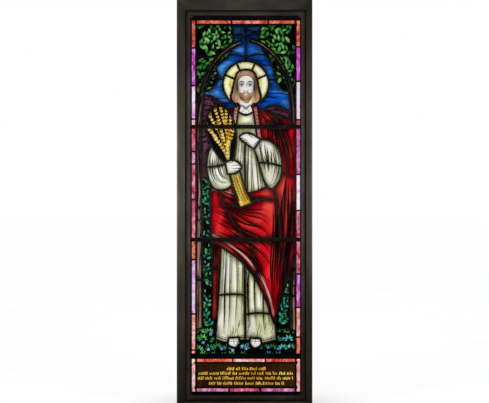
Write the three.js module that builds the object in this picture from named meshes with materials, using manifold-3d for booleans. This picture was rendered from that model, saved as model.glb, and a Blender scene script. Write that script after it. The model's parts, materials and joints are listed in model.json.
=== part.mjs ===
// A leaded stained glass light in its moulded frame: four leaded panels between T-bars, held in a
// metal inner frame that is set in a mitred outer frame. Millimetres, +Z up, the room side towards -Y.
// The origin is at the middle of the frame's underside.
import * as THREE from "three";
import { mergeVertices } from "three/addons/utils/BufferGeometryUtils.js";
import Module from "manifold-3d";

const wasm = await Module();
wasm.setup();

// ---- driving dimensions -----------------------------------------------------------------------
const HALF_WIDTH = 332; // outer frame
const HEIGHT = 2030;
const HALF_DEPTH = 69;
const INNER_HALF_WIDTH = 298; // inner frame's outer edge
const INNER_BOTTOM = 45;
const INNER_TOP = 1985;
const INNER_FACE = 22; // inner frame's visible width
const PANEL_INSET = 14; // from the inner frame's outer edge to the edge of the leaded panels
const JAMB_JOINT = 1600; // height of the joint in each jamb
const CLEAR = 0.3; // between pieces that touch

const GLASS = 1.5; // half thickness of the glass
const POCKET = GLASS + CLEAR; // half the width of the channel in a lead
const LEAD = 3.5; // half depth of a lead
const FLANGE = 4; // half width of a lead's face
const HEART = 1.2; // half thickness of a lead's heart
const FACET_TURN = 45; // degrees that a curved outline turns in one straight side

const BAR_HEIGHTS = [1408.5, 844.5, 265]; // centres of the T-bars
const BAR_FACE = 14;
const BAR_THICKNESS = 3;

const BORDER_OUT = 270; // outer and inner edges of the side border glass
const BORDER_IN = 254;
const PICTURE = 245; // half width of the picture's sight
const SEAM = (BORDER_IN + PICTURE) / 2; // centre of the lead between border and picture
const PICTURE_TOP = 1915;
const BORDER_TOP = [1924, 1940];
const BASE_BORDER = [85, 101]; // bottom strip of border glass
const BASE_MIDDLE = [233, 248]; // strip above the inscription pane
const INSCRIPTION = [110, 225];
const HIDDEN = 3; // glass that each lead's face covers

// ---- outlines ---------------------------------------------------------------------------------
// Points are [x, z], with a third entry where the outline has a sharp corner.

function smooth(points, closed = true) {
  const n = points.length;
  const at = (i) => new THREE.Vector2(points[(i + n) % n][0], points[(i + n) % n][1]);
  const sharp = (i) => points[(i + n) % n].length > 2;
  const out = [];
  for (let i = 0; i < (closed ? n : n - 1); i++) {
    const a = at(i);
    const b = at(i + 1);
    const chord = b.clone().sub(a);
    const limit = (t) => t.clampLength(0, 1.2 * chord.length());
    const rounds = { from: !sharp(i) && (closed || i > 0), to: !sharp(i + 1) && (closed || i + 2 < n) };
    const from = rounds.from ? limit(b.clone().sub(at(i - 1)).multiplyScalar(0.5)) : null;
    const to = rounds.to ? limit(at(i + 2).sub(a).multiplyScalar(0.5)) : null;
    const easeTo = (t) => chord.clone().multiplyScalar(1.5).addScaledVector(t, -0.5);
    const ta = from || (to ? easeTo(to) : chord);
    const tb = to || (from ? easeTo(from) : chord);
    const turn = THREE.MathUtils.radToDeg(ta.angleTo(chord) + tb.angleTo(chord));
    const steps = Math.max(1, Math.round(turn / FACET_TURN));
    for (let j = 0; j < steps; j++) {
      const t = j / steps;
      out.push(
        a.clone().multiplyScalar(2 * t ** 3 - 3 * t ** 2 + 1)
          .addScaledVector(ta, t ** 3 - 2 * t ** 2 + t)
          .addScaledVector(b, 3 * t ** 2 - 2 * t ** 3)
          .addScaledVector(tb, t ** 3 - t ** 2),
      );
    }
  }
  if (!closed) out.push(at(n - 1));
  return out;
}

function circle(x, z, radius, sides) {
  return Array.from({ length: sides }, (_, i) => {
    const angle = (2 * Math.PI * i) / sides;
    return new THREE.Vector2(x + radius * Math.cos(angle), z + radius * Math.sin(angle));
  });
}

function rectangle(x0, x1, z0, z1) {
  return [[x0, z0], [x1, z0], [x1, z1], [x0, z1]].map(([x, z]) => new THREE.Vector2(x, z));
}

// A band along an open line, startWidth wide where it begins and endWidth where it ends.
function limb(points, startWidth, endWidth = startWidth) {
  const line = smooth(points, false);
  const sides = [[], []];
  line.forEach((p, i) => {
    const [before, after] = [line[Math.max(i - 1, 0)], line[Math.min(i + 1, line.length - 1)]];
    const along = after.clone().sub(before).normalize();
    const half = THREE.MathUtils.lerp(startWidth, endWidth, i / (line.length - 1)) / 2;
    sides[0].push(new THREE.Vector2(p.x + along.y * half, p.y - along.x * half));
    sides[1].unshift(new THREE.Vector2(p.x - along.y * half, p.y + along.x * half));
  });
  return sides.flat();
}

// The outline moved outwards by a distance, or inwards by a negative one, with mitred corners.
function grown(outline, distance) {
  const loop = THREE.ShapeUtils.isClockWise(outline) ? outline.slice().reverse() : outline;
  const n = loop.length;
  const outward = (a, b) => new THREE.Vector2(b.y - a.y, a.x - b.x).normalize();
  return loop.map((p, i) => {
    const before = outward(loop[(i + n - 1) % n], p);
    const after = outward(p, loop[(i + 1) % n]);
    const mitre = before.add(after);
    return p.clone().addScaledVector(mitre, (2 * distance) / Math.max(mitre.lengthSq(), 0.7));
  });
}

// ---- solids -----------------------------------------------------------------------------------

function solid(geometry) {
  geometry.deleteAttribute("normal");
  geometry.deleteAttribute("uv");
  const merged = mergeVertices(geometry, 1e-4);
  return new wasm.Manifold(
    new wasm.Mesh({
      numProp: 3,
      vertProperties: new Float32Array(merged.attributes.position.array),
      triVerts: new Uint32Array(merged.index.array),
    }),
  );
}

function box(x0, x1, y0, y1, z0, z1) {
  const block = new THREE.BoxGeometry(x1 - x0, y1 - y0, z1 - z0);
  return solid(block.translate((x0 + x1) / 2, (y0 + y1) / 2, (z0 + z1) / 2));
}

// A flat plate with the given outline, from depth y0 to y1.
function plate(outline, y0, y1) {
  const clockwise = THREE.ShapeUtils.isClockWise(outline);
  const shape = new THREE.Shape(clockwise ? outline.slice().reverse() : outline);
  const geometry = new THREE.ExtrudeGeometry(shape, { depth: y1 - y0, bevelEnabled: false });
  return solid(geometry.rotateX(Math.PI / 2).translate(0, y1, 0));
}

// A moulding whose section is [side, top, y] points: the distances in from the outer edge of the
// upright members and of the level ones, and the depth. start and end give its two end sections.
function moulding(section, start, end, closed = false) {
  const rings = closed ? [start, end].flat() : [start, end];
  const n = section.length;
  const positions = rings.flatMap((ring) => section.flatMap((point) => ring(point)));
  const index = [];
  const spans = closed ? rings.length : rings.length - 1;
  for (let r = 0; r < spans; r++)
    for (let i = 0; i < n; i++) {
      const [a, b] = [r * n + i, r * n + ((i + 1) % n)];
      const [c, d] = [((r + 1) % rings.length) * n + i, ((r + 1) % rings.length) * n + ((i + 1) % n)];
      index.push(a, c, b, b, c, d);
    }
  if (!closed) {
    const contour = section.map(([side, , y]) => new THREE.Vector2(side, y));
    const last = (rings.length - 1) * n;
    for (const [a, b, c] of THREE.ShapeUtils.triangulateShape(contour, []))
      index.push(a, b, c, last + a, last + c, last + b);
  }
  const geometry = new THREE.BufferGeometry();
  geometry.setAttribute("position", new THREE.Float32BufferAttribute(positions, 3));
  geometry.setIndex(index);
  const made = solid(geometry);
  return made.volume() < 0 ? solid(flipped(geometry)) : made;
}

function flipped(geometry) {
  const index = geometry.index.array.slice();
  for (let i = 0; i < index.length; i += 3) [index[i + 1], index[i + 2]] = [index[i + 2], index[i + 1]];
  return geometry.clone().setIndex(new THREE.BufferAttribute(index, 1));
}

const corner = (halfWidth, bottom, top, sx, sz) => ([side, level, y]) => [
  sx * (halfWidth - side),
  y,
  sz > 0 ? top - level : bottom + level,
];

function ring(section, halfWidth, bottom, top) {
  const at = (sx, sz) => corner(halfWidth, bottom, top, sx, sz);
  return moulding(section, [at(-1, -1), at(1, -1)], [at(1, 1), at(-1, 1)], true);
}

// ---- the scene --------------------------------------------------------------------------------

const FINISH = {
  frame: { color: 0x4a4641, roughness: 0.75, metalness: 0 },
  metal: { color: 0x45403b, roughness: 0.6, metalness: 0.2 },
  bar: { color: 0x1d1c1c, roughness: 0.7, metalness: 0.2 },
  lead: { color: 0x17171a, roughness: 0.6, metalness: 0.6 },
  sky: { color: 0x14304f },
  leaf: { color: 0x1e5a2a },
  hill: { color: 0x4a2c48 },
  teal: { color: 0x1f5a4c },
  grass: { color: 0x185038 },
  halo: { color: 0xeee9a6 },
  flesh: { color: 0xf3ece4 },
  red: { color: 0xb11228 },
  cream: { color: 0xe7e6cf },
  gold: { color: 0xe0b43a },
  pink: { color: 0xd9628a },
  umber: { color: 0x4a3216 },
};

const window_ = new THREE.Group();
window_.name = "stained_glass_window";

function add(name, made, finish) {
  const mesh = made.getMesh();
  const geometry = new THREE.BufferGeometry();
  const positions = new Float32Array(mesh.numVert * 3);
  for (let i = 0; i < mesh.numVert; i++)
    positions.set(mesh.vertProperties.subarray(i * mesh.numProp, i * mesh.numProp + 3), i * 3);
  geometry.setAttribute("position", new THREE.BufferAttribute(positions, 3));
  geometry.setIndex(new THREE.BufferAttribute(mesh.triVerts, 1));
  geometry.computeVertexNormals();
  const glass = { roughness: 0.3, metalness: 0, transparent: true, opacity: 0.85 };
  const look = FINISH[finish].roughness ? FINISH[finish] : { ...glass, ...FINISH[finish] };
  const piece = new THREE.Mesh(geometry, new THREE.MeshStandardMaterial(look));
  piece.name = name;
  window_.add(piece);
}

// ---- outer frame ------------------------------------------------------------------------------
// Front arris, flat, splay, quirk, the seat of the inner frame, the stop behind it, outer reveal.
const REVEAL = 16; // stop behind the inner frame
const SIDE = HALF_WIDTH - INNER_HALF_WIDTH;
const LEVEL = INNER_BOTTOM;
const QUIRK = 4;
const frameSection = [
  [0, 0, -HALF_DEPTH],
  [6, 6, -HALF_DEPTH],
  [SIDE - QUIRK, LEVEL - QUIRK, -14],
  [SIDE - QUIRK, LEVEL - QUIRK, -6],
  [SIDE - CLEAR, LEVEL - CLEAR, -6],
  [SIDE - CLEAR, LEVEL - CLEAR, 14 + CLEAR],
  [SIDE + REVEAL, LEVEL + REVEAL, 14 + CLEAR],
  [SIDE + REVEAL, LEVEL + REVEAL, HALF_DEPTH - 6],
  [SIDE + REVEAL - 6, LEVEL + REVEAL - 6, HALF_DEPTH],
  [0, 0, HALF_DEPTH],
];

const shifted = (end, dz) => (point) => end(point).map((v, i) => (i === 2 ? v + dz : v));

// The four mitred members of a frame. The uprights stop short of the level ones.
function mitred(section, halfWidth, bottom, top) {
  const at = (sx, sz) => corner(halfWidth, bottom, top, sx, sz);
  const upright = (sx) => [shifted(at(sx, -1), CLEAR), shifted(at(sx, 1), -CLEAR)];
  return {
    top: moulding(section, at(-1, 1), at(1, 1)),
    bottom: moulding(section, at(-1, -1), at(1, -1)),
    left: moulding(section, ...upright(-1)),
    right: moulding(section, ...upright(1)),
  };
}

function outerFrame() {
  const { top, bottom, ...jambs } = mitred(frameSection, HALF_WIDTH, 0, HEIGHT);
  add("frame_head", top, "frame");
  add("frame_sill", bottom, "frame");
  for (const [side, jamb] of Object.entries(jambs)) {
    const [x, y] = [HALF_WIDTH + 1, HALF_DEPTH + 1];
    const slab = (z0, z1) => box(-x, x, -y, y, z0, z1);
    add(`frame_jamb_${side}_lower`, jamb.intersect(slab(-1, JAMB_JOINT - CLEAR / 2)), "frame");
    add(`frame_jamb_${side}_upper`, jamb.intersect(slab(JAMB_JOINT + CLEAR / 2, HEIGHT + 1)), "frame");
  }
}

// ---- inner frame and its glazing bead ---------------------------------------------------------
const LIP_BACK = -LEAD - CLEAR;
const SEAT = PANEL_INSET - CLEAR;
const CORNER_RADIUS = 24;
const WEB_FRONT = -11;
const HAIR = 0.01; // holds the ends of a bar's stem off the lip they run behind
const level = (points) => points.map(([u, y]) => [u, u, y]);

// The web that rounds off one inside corner of the sight: sx and sz say which corner.
function cornerWeb(sx, sz) {
  const x = INNER_HALF_WIDTH - INNER_FACE - CLEAR;
  const z = sz > 0 ? INNER_TOP - INNER_FACE : INNER_BOTTOM + INNER_FACE;
  const sides = 4;
  const outline = Array.from({ length: sides + 1 }, (_, i) => {
    const angle = (Math.PI / 2 / sides) * i;
    return [Math.cos(angle), Math.sin(angle)].map((part) => CORNER_RADIUS * (part - 1));
  });
  outline.push([-CORNER_RADIUS, 2], [0, 2]);
  const placed = outline.map(([dx, dz]) => new THREE.Vector2(sx * (x + dx), z + sz * dz));
  return plate(placed, WEB_FRONT, LIP_BACK);
}

function innerFrame() {
  const section = level([
    [0, 14], [0, -13], [4, -17], [11, -18], [17, -15.5], [20.5, -11], [INNER_FACE, -6],
    [INNER_FACE, LIP_BACK], [SEAT, LIP_BACK], [SEAT, 14],
  ]);
  const { top, bottom, left, right } = mitred(section, INNER_HALF_WIDTH, INNER_BOTTOM, INNER_TOP);
  add("inner_frame_top", top.add(cornerWeb(-1, 1)).add(cornerWeb(1, 1)), "metal");
  add("inner_frame_bottom", bottom.add(cornerWeb(-1, -1)).add(cornerWeb(1, -1)), "metal");
  add("inner_frame_left", left, "metal");
  add("inner_frame_right", right, "metal");
  const bead = level([
    [PANEL_INSET, LEAD + CLEAR], [INNER_FACE, LEAD + CLEAR], [INNER_FACE, 8], [19, 12.5],
    [PANEL_INSET, 14 - CLEAR],
  ]);
  add("glazing_bead", ring(bead, INNER_HALF_WIDTH, INNER_BOTTOM, INNER_TOP), "metal");
}

function bars() {
  const sight = INNER_HALF_WIDTH - INNER_FACE - CLEAR;
  const reach = INNER_HALF_WIDTH - PANEL_INSET;
  ["upper", "middle", "lower"].forEach((name, i) => {
    const z = BAR_HEIGHTS[i];
    const [low, high] = [z - BAR_THICKNESS / 2, z + BAR_THICKNESS / 2];
    const front = LIP_BACK - BAR_THICKNESS;
    const face = box(-sight, sight, front, LIP_BACK, z - BAR_FACE / 2, z + BAR_FACE / 2);
    const stem = box(-reach, reach, LIP_BACK + HAIR, LEAD, low, high);
    const root = box(-sight, sight, LIP_BACK - 1, LEAD, low, high);
    add(`t_bar_${name}`, face.add(stem).add(root), "bar");
  });
}

// ---- the picture ------------------------------------------------------------------------------
// Areas in painter's order: [group, outline]. A group is one node of glass in each panel it crosses.
const OVER = 8; // how far the outermost areas run past the picture's sight
const LEFT = -PICTURE - OVER;
const RIGHT = PICTURE + OVER;
const TOP = PICTURE_TOP + OVER;
const FOOT = BAR_HEIGHTS[2];
const HALO = { x: 0, z: 1622, outer: 115, inner: 78 };

const AREAS = [
  ["sky", rectangle(LEFT, RIGHT, FOOT, TOP)],
  ["hill", smooth([[LEFT, 1536, 1], [-190, 1566], [-112, 1520], [0, 1440], [110, 1508], [176, 1508],
    [RIGHT, 1462, 1], [RIGHT, FOOT, 1], [LEFT, FOOT, 1]])],
  ["hedge", smooth([[LEFT, 1132, 1], [-200, 1150], [0, 1000], [120, 700], [RIGHT, 690, 1], [RIGHT, FOOT, 1],
    [LEFT, FOOT, 1]])],
  ["tree_left", smooth([[LEFT, TOP, 1], [LEFT, 1460, 1], [-232, 1500, 1], [-206, 1592, 1], [-172, 1596],
    [-136, 1650], [-146, 1706], [-84, 1768], [-64, 1840], [-72, TOP, 1]])],
  ["tree_right", smooth([[RIGHT, TOP, 1], [78, TOP, 1], [66, 1840], [92, 1780], [132, 1716], [150, 1640],
    [186, 1592], [214, 1590, 1], [232, 1500, 1], [RIGHT, 1460, 1]])],
  ["tree_right", limb([[240, 340], [238, 900], [238, 1380], [224, 1590], [178, 1716], [104, 1802],
    [24, 1842]], 48, 14)],
  ["tree_left", limb([[-242, 340], [-238, 900], [-240, 1300], [-222, 1560], [-170, 1706], [-100, 1790],
    [-22, 1832]], 52, 16)],
  ["ground", smooth([[LEFT, 392, 1], [-150, 408], [0, 366], [150, 402], [RIGHT, 384, 1], [RIGHT, FOOT, 1],
    [LEFT, FOOT, 1]])],
  ["halo", circle(HALO.x, HALO.z, HALO.outer, 20)],
  ["mantle", smooth([[-40, 1508, 1], [-104, 1486], [-150, 1410], [-170, 1200], [-172, 900],
    [-168, 640], [-172, 440, 1], [-96, 470, 1], [170, 700, 1], [RIGHT, 900, 1], [RIGHT, 1396, 1],
    [222, 1436], [104, 1486], [40, 1508, 1]])],
  ["robe", smooth([[-48, 1500, 1], [-74, 1300], [-118, 900], [-134, 620], [-152, 346, 1], [-84, 328],
    [-4, 342], [70, 326], [154, 344, 1], [130, 700], [114, 1060], [74, 1300], [48, 1500, 1]])],
  ["robe", limb([[-46, 1512], [-58, 1430], [-70, 1330]], 24)],
  ["robe", limb([[46, 1512], [58, 1430], [76, 1300]], 24)],
  ["swag", smooth([[-178, 1130, 1], [-90, 1116], [0, 1078], [100, 1106], [186, 1176, 1],
    [RIGHT, 1150, 1], [RIGHT, 800, 1], [200, 620], [140, 424, 1], [108, 520], [62, 622], [0, 712],
    [-80, 780], [-176, 836, 1]])],
  ["sleeve_right", smooth([[176, 1262], [176, 1160], [132, 1098], [92, 1136], [60, 1240], [40, 1298, 1],
    [72, 1346, 1], [136, 1328]])],
  ["sleeve_left", smooth([[-150, 1330, 1], [-184, 1290], [-196, 1200], [-168, 1108], [-110, 1092],
    [-60, 1124, 1], [-60, 1190, 1], [-98, 1240, 1]])],
  ["stems", smooth([[-92, 1214, 1], [-66, 1110], [-30, 1004, 1], [34, 1024, 1], [-10, 1120],
    [-34, 1206, 1]])],
  ["ears", smooth([[-66, 1228, 1], [-48, 1340], [-62, 1440], [-110, 1506], [-172, 1498], [-200, 1430],
    [-182, 1340], [-140, 1266], [-104, 1226, 1]])],
  ["hand_left", smooth([[-104, 1230, 1], [-60, 1242], [-22, 1212], [-44, 1180], [-92, 1172, 1]])],
  ["hand_right", smooth([[74, 1346, 1], [10, 1378], [-32, 1358], [-4, 1326], [42, 1298, 1]])],
  ["foot_left", smooth([[-84, 354, 1], [-88, 318], [-52, 304], [-30, 328], [-36, 356, 1]])],
  ["foot_right", smooth([[24, 354, 1], [18, 326], [44, 302], [76, 318], [72, 352, 1]])],
  ["head", smooth([[0, 1694], [44, 1676], [66, 1600], [74, 1546], [30, 1512, 1], [38, 1484, 1], [0, 1468],
    [-38, 1484, 1], [-30, 1512, 1], [-74, 1546], [-66, 1600], [-44, 1676]])],
];

// Leads across one colour of glass: [x, z] lines.
const SPOKES = [24, 66, 114, 156];
const CUTS = [
  ...SPOKES.map((degrees) => {
    const angle = THREE.MathUtils.degToRad(degrees);
    const spoke = (radius) => [HALO.x + radius * Math.cos(angle), HALO.z + radius * Math.sin(angle)];
    return [spoke(HALO.inner - 16), spoke(HALO.outer)];
  }),
  [[-140, 1104], [-108, 1010], [-40, 900], [12, 836]],
  [[120, 1124], [158, 1020], [172, 838]],
  [[172, 852], [192, 740], [200, 630]],
  [[20, 852], [44, 750], [64, 610]],
  [[-6, 716], [-2, 540], [-4, 338]],
  [[0, 1380], [-6, 1240], [0, 1076]],
  [[126, 1482], [168, 1400], [206, 1270], [200, 1156]],
  [[0, 1736], [0, 1921]],
];

const PANELS = [
  { name: "upper", z0: BAR_HEIGHTS[0], z1: INNER_TOP - PANEL_INSET },
  { name: "middle", z0: BAR_HEIGHTS[1], z1: BAR_HEIGHTS[0] },
  { name: "lower", z0: BAR_HEIGHTS[2], z1: BAR_HEIGHTS[1] },
];
const BAR_GAP = BAR_THICKNESS / 2 + CLEAR; // from a bar's centre to the panel's edge
const EDGE_LEAD = 8; // face of the lead along a bar

// Joints across the side borders, as heights, and across the level strips, as x.
const BORDER_JOINTS = {
  upper: { left: [1803, 1614, 1447], right: [1808, 1636, 1444], level: [-72, 112] },
  middle: { left: [1285, 1222, 1045], right: [1170, 990] },
  lower: { left: [744, 472, 292], right: [673, 505, 357] },
};

const BASE_JOINTS = [
  [-84, BASE_BORDER],
  [72, BASE_BORDER],
  [-65, BASE_MIDDLE],
  [97, BASE_MIDDLE],
];
const LAP = 2; // how far the lead over a joint runs onto the leads beside it
const BRIDGE = 8; // half width of the glass that ties the strips of one panel together under a lead
const CUTTER = 20; // half depth of the solids that cut right through a panel

const FINISH_OF = {
  sky: "sky",
  hill: "hill",
  tree_left: "leaf",
  tree_right: "leaf",
  hedge: "teal",
  ground: "grass",
  halo: "halo",
  mantle: "red",
  robe: "cream",
  swag: "red",
  sleeve_right: "cream",
  sleeve_left: "cream",
  stems: "gold",
  ears: "gold",
  hand_left: "flesh",
  hand_right: "flesh",
  foot_left: "flesh",
  foot_right: "flesh",
  head: "flesh",
};
const NODE_OF = { ears: "wheat_ears", stems: "wheat_stems" };

// Every group's region as plates of one thickness, each region drawn `inset` inside its outline.
function regions(inset, half) {
  const found = new Map();
  for (const [group, outline] of AREAS) {
    const cut = plate(grown(outline, inset), -half - 1, half + 1);
    for (const [other, region] of found) if (other !== group) found.set(other, region.subtract(cut));
    const own = plate(grown(outline, -inset), -half, half);
    found.set(group, found.has(group) ? found.get(group).add(own) : own);
  }
  return found;
}

// The openings between the faces of the leads, one for each area.
function openings() {
  const found = [];
  for (const [, outline] of AREAS) {
    const cut = plate(grown(outline, FLANGE), -CUTTER, CUTTER);
    found.forEach((region, i) => (found[i] = region.subtract(cut)));
    found.push(plate(grown(outline, -FLANGE), -CUTTER / 2, CUTTER / 2));
  }
  return found;
}

// The bodies of one region, named from left to right. Slivers are left to the leads that cover them.
const SMALLEST = 200; // cubic millimetres

function nameBodies(name, bodies) {
  const kept = bodies.filter((b) => b.volume() > SMALLEST);
  const middle = (b) => {
    const { min, max } = b.boundingBox();
    return (min[0] + max[0]) / 2;
  };
  kept.sort((a, b) => middle(a) - middle(b));
  if (kept.length < 2) return kept.map((body) => [name, body]);
  return [[`${name}_left`, kept[0]], [`${name}_right`, kept[1]]];
}

function borderStrips(z0, z1, top) {
  const strips = [
    [-BORDER_OUT, -BORDER_IN, z0, z1],
    [BORDER_IN, BORDER_OUT, z0, z1],
  ];
  if (top) strips.push([-PICTURE, PICTURE, ...top]);
  return strips;
}

function widened([x0, x1, z0, z1], by) {
  return rectangle(x0 - by, x1 + by, z0 - by, z1 + by);
}

function picturePanel({ name, z0, z1 }, between, pockets, glass) {
  const isTop = name === "upper";
  const reach = INNER_HALF_WIDTH - PANEL_INSET;
  const edge = { bottom: z0 + BAR_GAP, top: isTop ? z1 : z1 - BAR_GAP };
  const sight = {
    bottom: edge.bottom + EDGE_LEAD,
    top: isTop ? PICTURE_TOP : edge.top - EDGE_LEAD,
    borderTop: isTop ? BORDER_TOP[1] : edge.top - EDGE_LEAD,
  };
  const pictureRoom = (gap) => [
    -SEAM + gap, SEAM - gap, edge.bottom + EDGE_LEAD / 2 + gap,
    isTop ? (PICTURE_TOP + BORDER_TOP[0]) / 2 - gap : edge.top - EDGE_LEAD / 2 - gap,
  ];
  const strips = borderStrips(sight.bottom, sight.borderTop, isTop ? BORDER_TOP : null);
  const clip = (region, [x0, x1, b, t]) => region.intersect(box(x0, x1, -CUTTER, CUTTER, b, t));

  // The lead net: the panel's plate, opened for every pane, with a channel behind each face.
  let net = box(-reach, reach, -LEAD, LEAD, edge.bottom, edge.top);
  const seen = [-PICTURE, PICTURE, sight.bottom, sight.top];
  for (const opening of between) net = net.subtract(clip(opening, seen));
  for (const strip of strips) net = net.subtract(plate(widened(strip, 0), -CUTTER, CUTTER));
  const channel = strips.map((strip) => plate(widened(strip, HIDDEN + CLEAR), -POCKET, POCKET));
  for (const region of pockets.values()) channel.push(clip(region, pictureRoom(HEART)));
  const joints = BORDER_JOINTS[name];
  for (const [side, sx] of [["left", -1], ["right", 1]])
    for (const z of joints[side]) {
      const [x0, x1] = [sx * (BORDER_IN - LAP), sx * (BORDER_OUT + LAP)].sort((a, b) => a - b);
      net = net.add(box(x0, x1, -LEAD, LEAD, z - FLANGE, z + FLANGE));
    }
  for (const x of joints.level || [])
    net = net.add(box(x - FLANGE, x + FLANGE, -LEAD, LEAD, BORDER_TOP[0] - LAP, BORDER_TOP[1] + LAP));
  if (isTop)
    for (const x of [-SEAM, SEAM])
      channel.push(box(x - BRIDGE, x + BRIDGE, -POCKET, POCKET, BORDER_TOP[0], BORDER_TOP[1]));
  for (const line of CUTS) {
    const faces = clip(plate(limb(line, 2 * FLANGE), -LEAD, LEAD), pictureRoom(0));
    if (!faces.isEmpty()) net = net.add(faces);
  }
  for (const hollow of channel) net = net.subtract(hollow);
  add(`lead_${name}`, net.decompose().sort((a, b) => b.volume() - a.volume())[0], "lead");

  for (const [group, region] of glass) {
    const bodies = clip(region, pictureRoom(HEART + CLEAR)).decompose();
    for (const [node, body] of nameBodies(`${NODE_OF[group] || group}_${name}`, bodies))
      add(node, body, FINISH_OF[group]);
  }
  const panes = strips.map((strip) => plate(widened(strip, HIDDEN), -GLASS, GLASS));
  if (isTop) {
    const [low, high] = [BORDER_TOP[0] + 1, BORDER_TOP[1] - 1];
    const bridge = (x) => box(x - BRIDGE, x + BRIDGE, -GLASS, GLASS, low, high);
    add("border_upper", panes.concat(bridge(-SEAM), bridge(SEAM)).reduce((a, b) => a.add(b)), "pink");
  } else {
    add(`border_left_${name}`, panes[0], "pink");
    add(`border_right_${name}`, panes[1], "pink");
  }
}

function basePanel() {
  const reach = INNER_HALF_WIDTH - PANEL_INSET;
  const [bottom, top] = [INNER_BOTTOM + PANEL_INSET, BAR_HEIGHTS[2] - BAR_GAP];
  const strips = borderStrips(BASE_BORDER[0], BASE_MIDDLE[1], BASE_BORDER);
  strips.push([-PICTURE, PICTURE, ...BASE_MIDDLE]);
  const pane = [-PICTURE, PICTURE, ...INSCRIPTION];
  let net = box(-reach, reach, -LEAD, LEAD, bottom, top);
  for (const opening of [...strips, pane])
    net = net.subtract(plate(widened(opening, 0), -CUTTER, CUTTER));
  for (const [x, [z0, z1]] of BASE_JOINTS)
    net = net.add(box(x - FLANGE, x + FLANGE, -LEAD, LEAD, z0 - LAP, z1 + LAP));
  for (const opening of [...strips, pane])
    net = net.subtract(plate(widened(opening, HIDDEN + CLEAR), -POCKET, POCKET));
  const bridge = (x, [z0, z1], half, trim) =>
    box(x - BRIDGE, x + BRIDGE, -half, half, z0 + trim, z1 - trim);
  const bridges = (half, trim) =>
    [-SEAM, SEAM].flatMap((x) => [BASE_BORDER, BASE_MIDDLE].map((level) => bridge(x, level, half, trim)));
  for (const hollow of bridges(POCKET, 0)) net = net.subtract(hollow);
  add("lead_base", net, "lead");
  const panes = strips.map((strip) => plate(widened(strip, HIDDEN), -GLASS, GLASS));
  add("border_base", panes.concat(bridges(GLASS, CLEAR)).reduce((a, b) => a.add(b)), "pink");
  add("inscription_pane", plate(widened(pane, HIDDEN), -GLASS, GLASS), "umber");
}

outerFrame();
innerFrame();
bars();
const between = openings();
const pockets = regions(HEART, POCKET);
const glass = regions(HEART + CLEAR, GLASS);
for (const panel of PANELS) picturePanel(panel, between, pockets, glass);
basePanel();

export default window_;
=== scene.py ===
"""A leaded stained glass light in its frame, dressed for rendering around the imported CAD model."""

import json
import math

import bpy
import numpy as np
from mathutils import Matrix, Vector
from mathutils.geometry import delaunay_2d_cdt
from mathutils.kdtree import KDTree

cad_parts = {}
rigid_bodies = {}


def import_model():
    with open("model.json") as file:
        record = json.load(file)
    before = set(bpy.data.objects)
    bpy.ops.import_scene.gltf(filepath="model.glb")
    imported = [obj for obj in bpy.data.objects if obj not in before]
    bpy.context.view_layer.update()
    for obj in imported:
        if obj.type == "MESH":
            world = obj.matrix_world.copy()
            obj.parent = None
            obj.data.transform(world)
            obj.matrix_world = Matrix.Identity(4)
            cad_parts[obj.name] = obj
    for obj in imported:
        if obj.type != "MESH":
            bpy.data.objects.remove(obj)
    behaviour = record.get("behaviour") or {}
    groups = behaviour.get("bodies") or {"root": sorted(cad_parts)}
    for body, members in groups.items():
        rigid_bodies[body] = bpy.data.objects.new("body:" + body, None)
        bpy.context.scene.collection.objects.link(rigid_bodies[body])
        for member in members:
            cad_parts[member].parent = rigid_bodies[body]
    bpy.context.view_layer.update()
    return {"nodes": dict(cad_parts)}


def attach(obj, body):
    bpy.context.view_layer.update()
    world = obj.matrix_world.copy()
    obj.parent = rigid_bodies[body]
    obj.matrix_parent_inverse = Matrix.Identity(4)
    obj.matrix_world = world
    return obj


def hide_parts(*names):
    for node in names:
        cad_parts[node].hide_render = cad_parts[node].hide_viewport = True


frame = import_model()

rng = np.random.default_rng(11)

# ---- sizes, in millimetres ----------------------------------------------------------------------
MM = 0.001
GLASS = 1.5  # half thickness of the glass
LEAD = 3.5  # half depth of a lead
SHOULDER, LIP = 2.9, 1.8  # depths at which the rounded face of a lead turns, and at which it ends
WEB, WEB_TOP = 1.1, 1.75  # half thickness of a lead's web, and how deep it starts
ARRIS = 1.2  # eased edge of the flat leads round a panel
FLANGE = 4.0  # half width of a lead's face
SEAM_FLANGE = 4.5  # the same, between the border and the picture
HEART = 1.4  # half the gap between two panes, where the lead's heart is
PAINTED_EDGE = 4.7  # the black paint that runs along each lead reaches this far from its centre
SHORTEST_LEAD = 4.0  # stretches of lead no longer than this are left out
SOLDER = 6.6  # reach of a drop of solder
CORNER_SOLDER = 1.3  # the same at the corners of the border, as a share
STEP = 7.0  # distance between points on a curve
GRID, JITTER = 8.0, 2.5  # spacing of the loose points in the glass, and how far they stray

BORDER_IN, BORDER_OUT = 254.0, 270.0  # the side strips of border glass
PICTURE = 245.0  # half width of the picture's sight
SEAM = (PICTURE + BORDER_IN) / 2
PICTURE_TOP = 1915.0
BORDER_TOP = (1924.0, 1940.0)
BASE_BORDER = (85.0, 101.0)
BASE_MIDDLE = (233.0, 248.0)
INSCRIPTION = (110.0, 225.0)
PANEL_HALF_WIDTH = 284.0
PANEL_ENDS = (59.0, 1971.0)
HIDDEN = 3.0  # glass that each lead's face covers
BAR_HEIGHTS = (1408.5, 844.5, 265.0)
BAR_GAP = 1.8  # from a bar's centre to the panel's edge
EDGE_LEAD = 8.0  # face of the lead along a bar


# ---- plane geometry: arrays of (x, z) points ----------------------------------------------------
def eased(tangent, chord):
    """A tangent, shortened where it is long for the chord that it starts."""
    length = np.linalg.norm(tangent)
    return tangent * min(1.0, 1.2 * chord / length) if length > 0 else tangent


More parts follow.
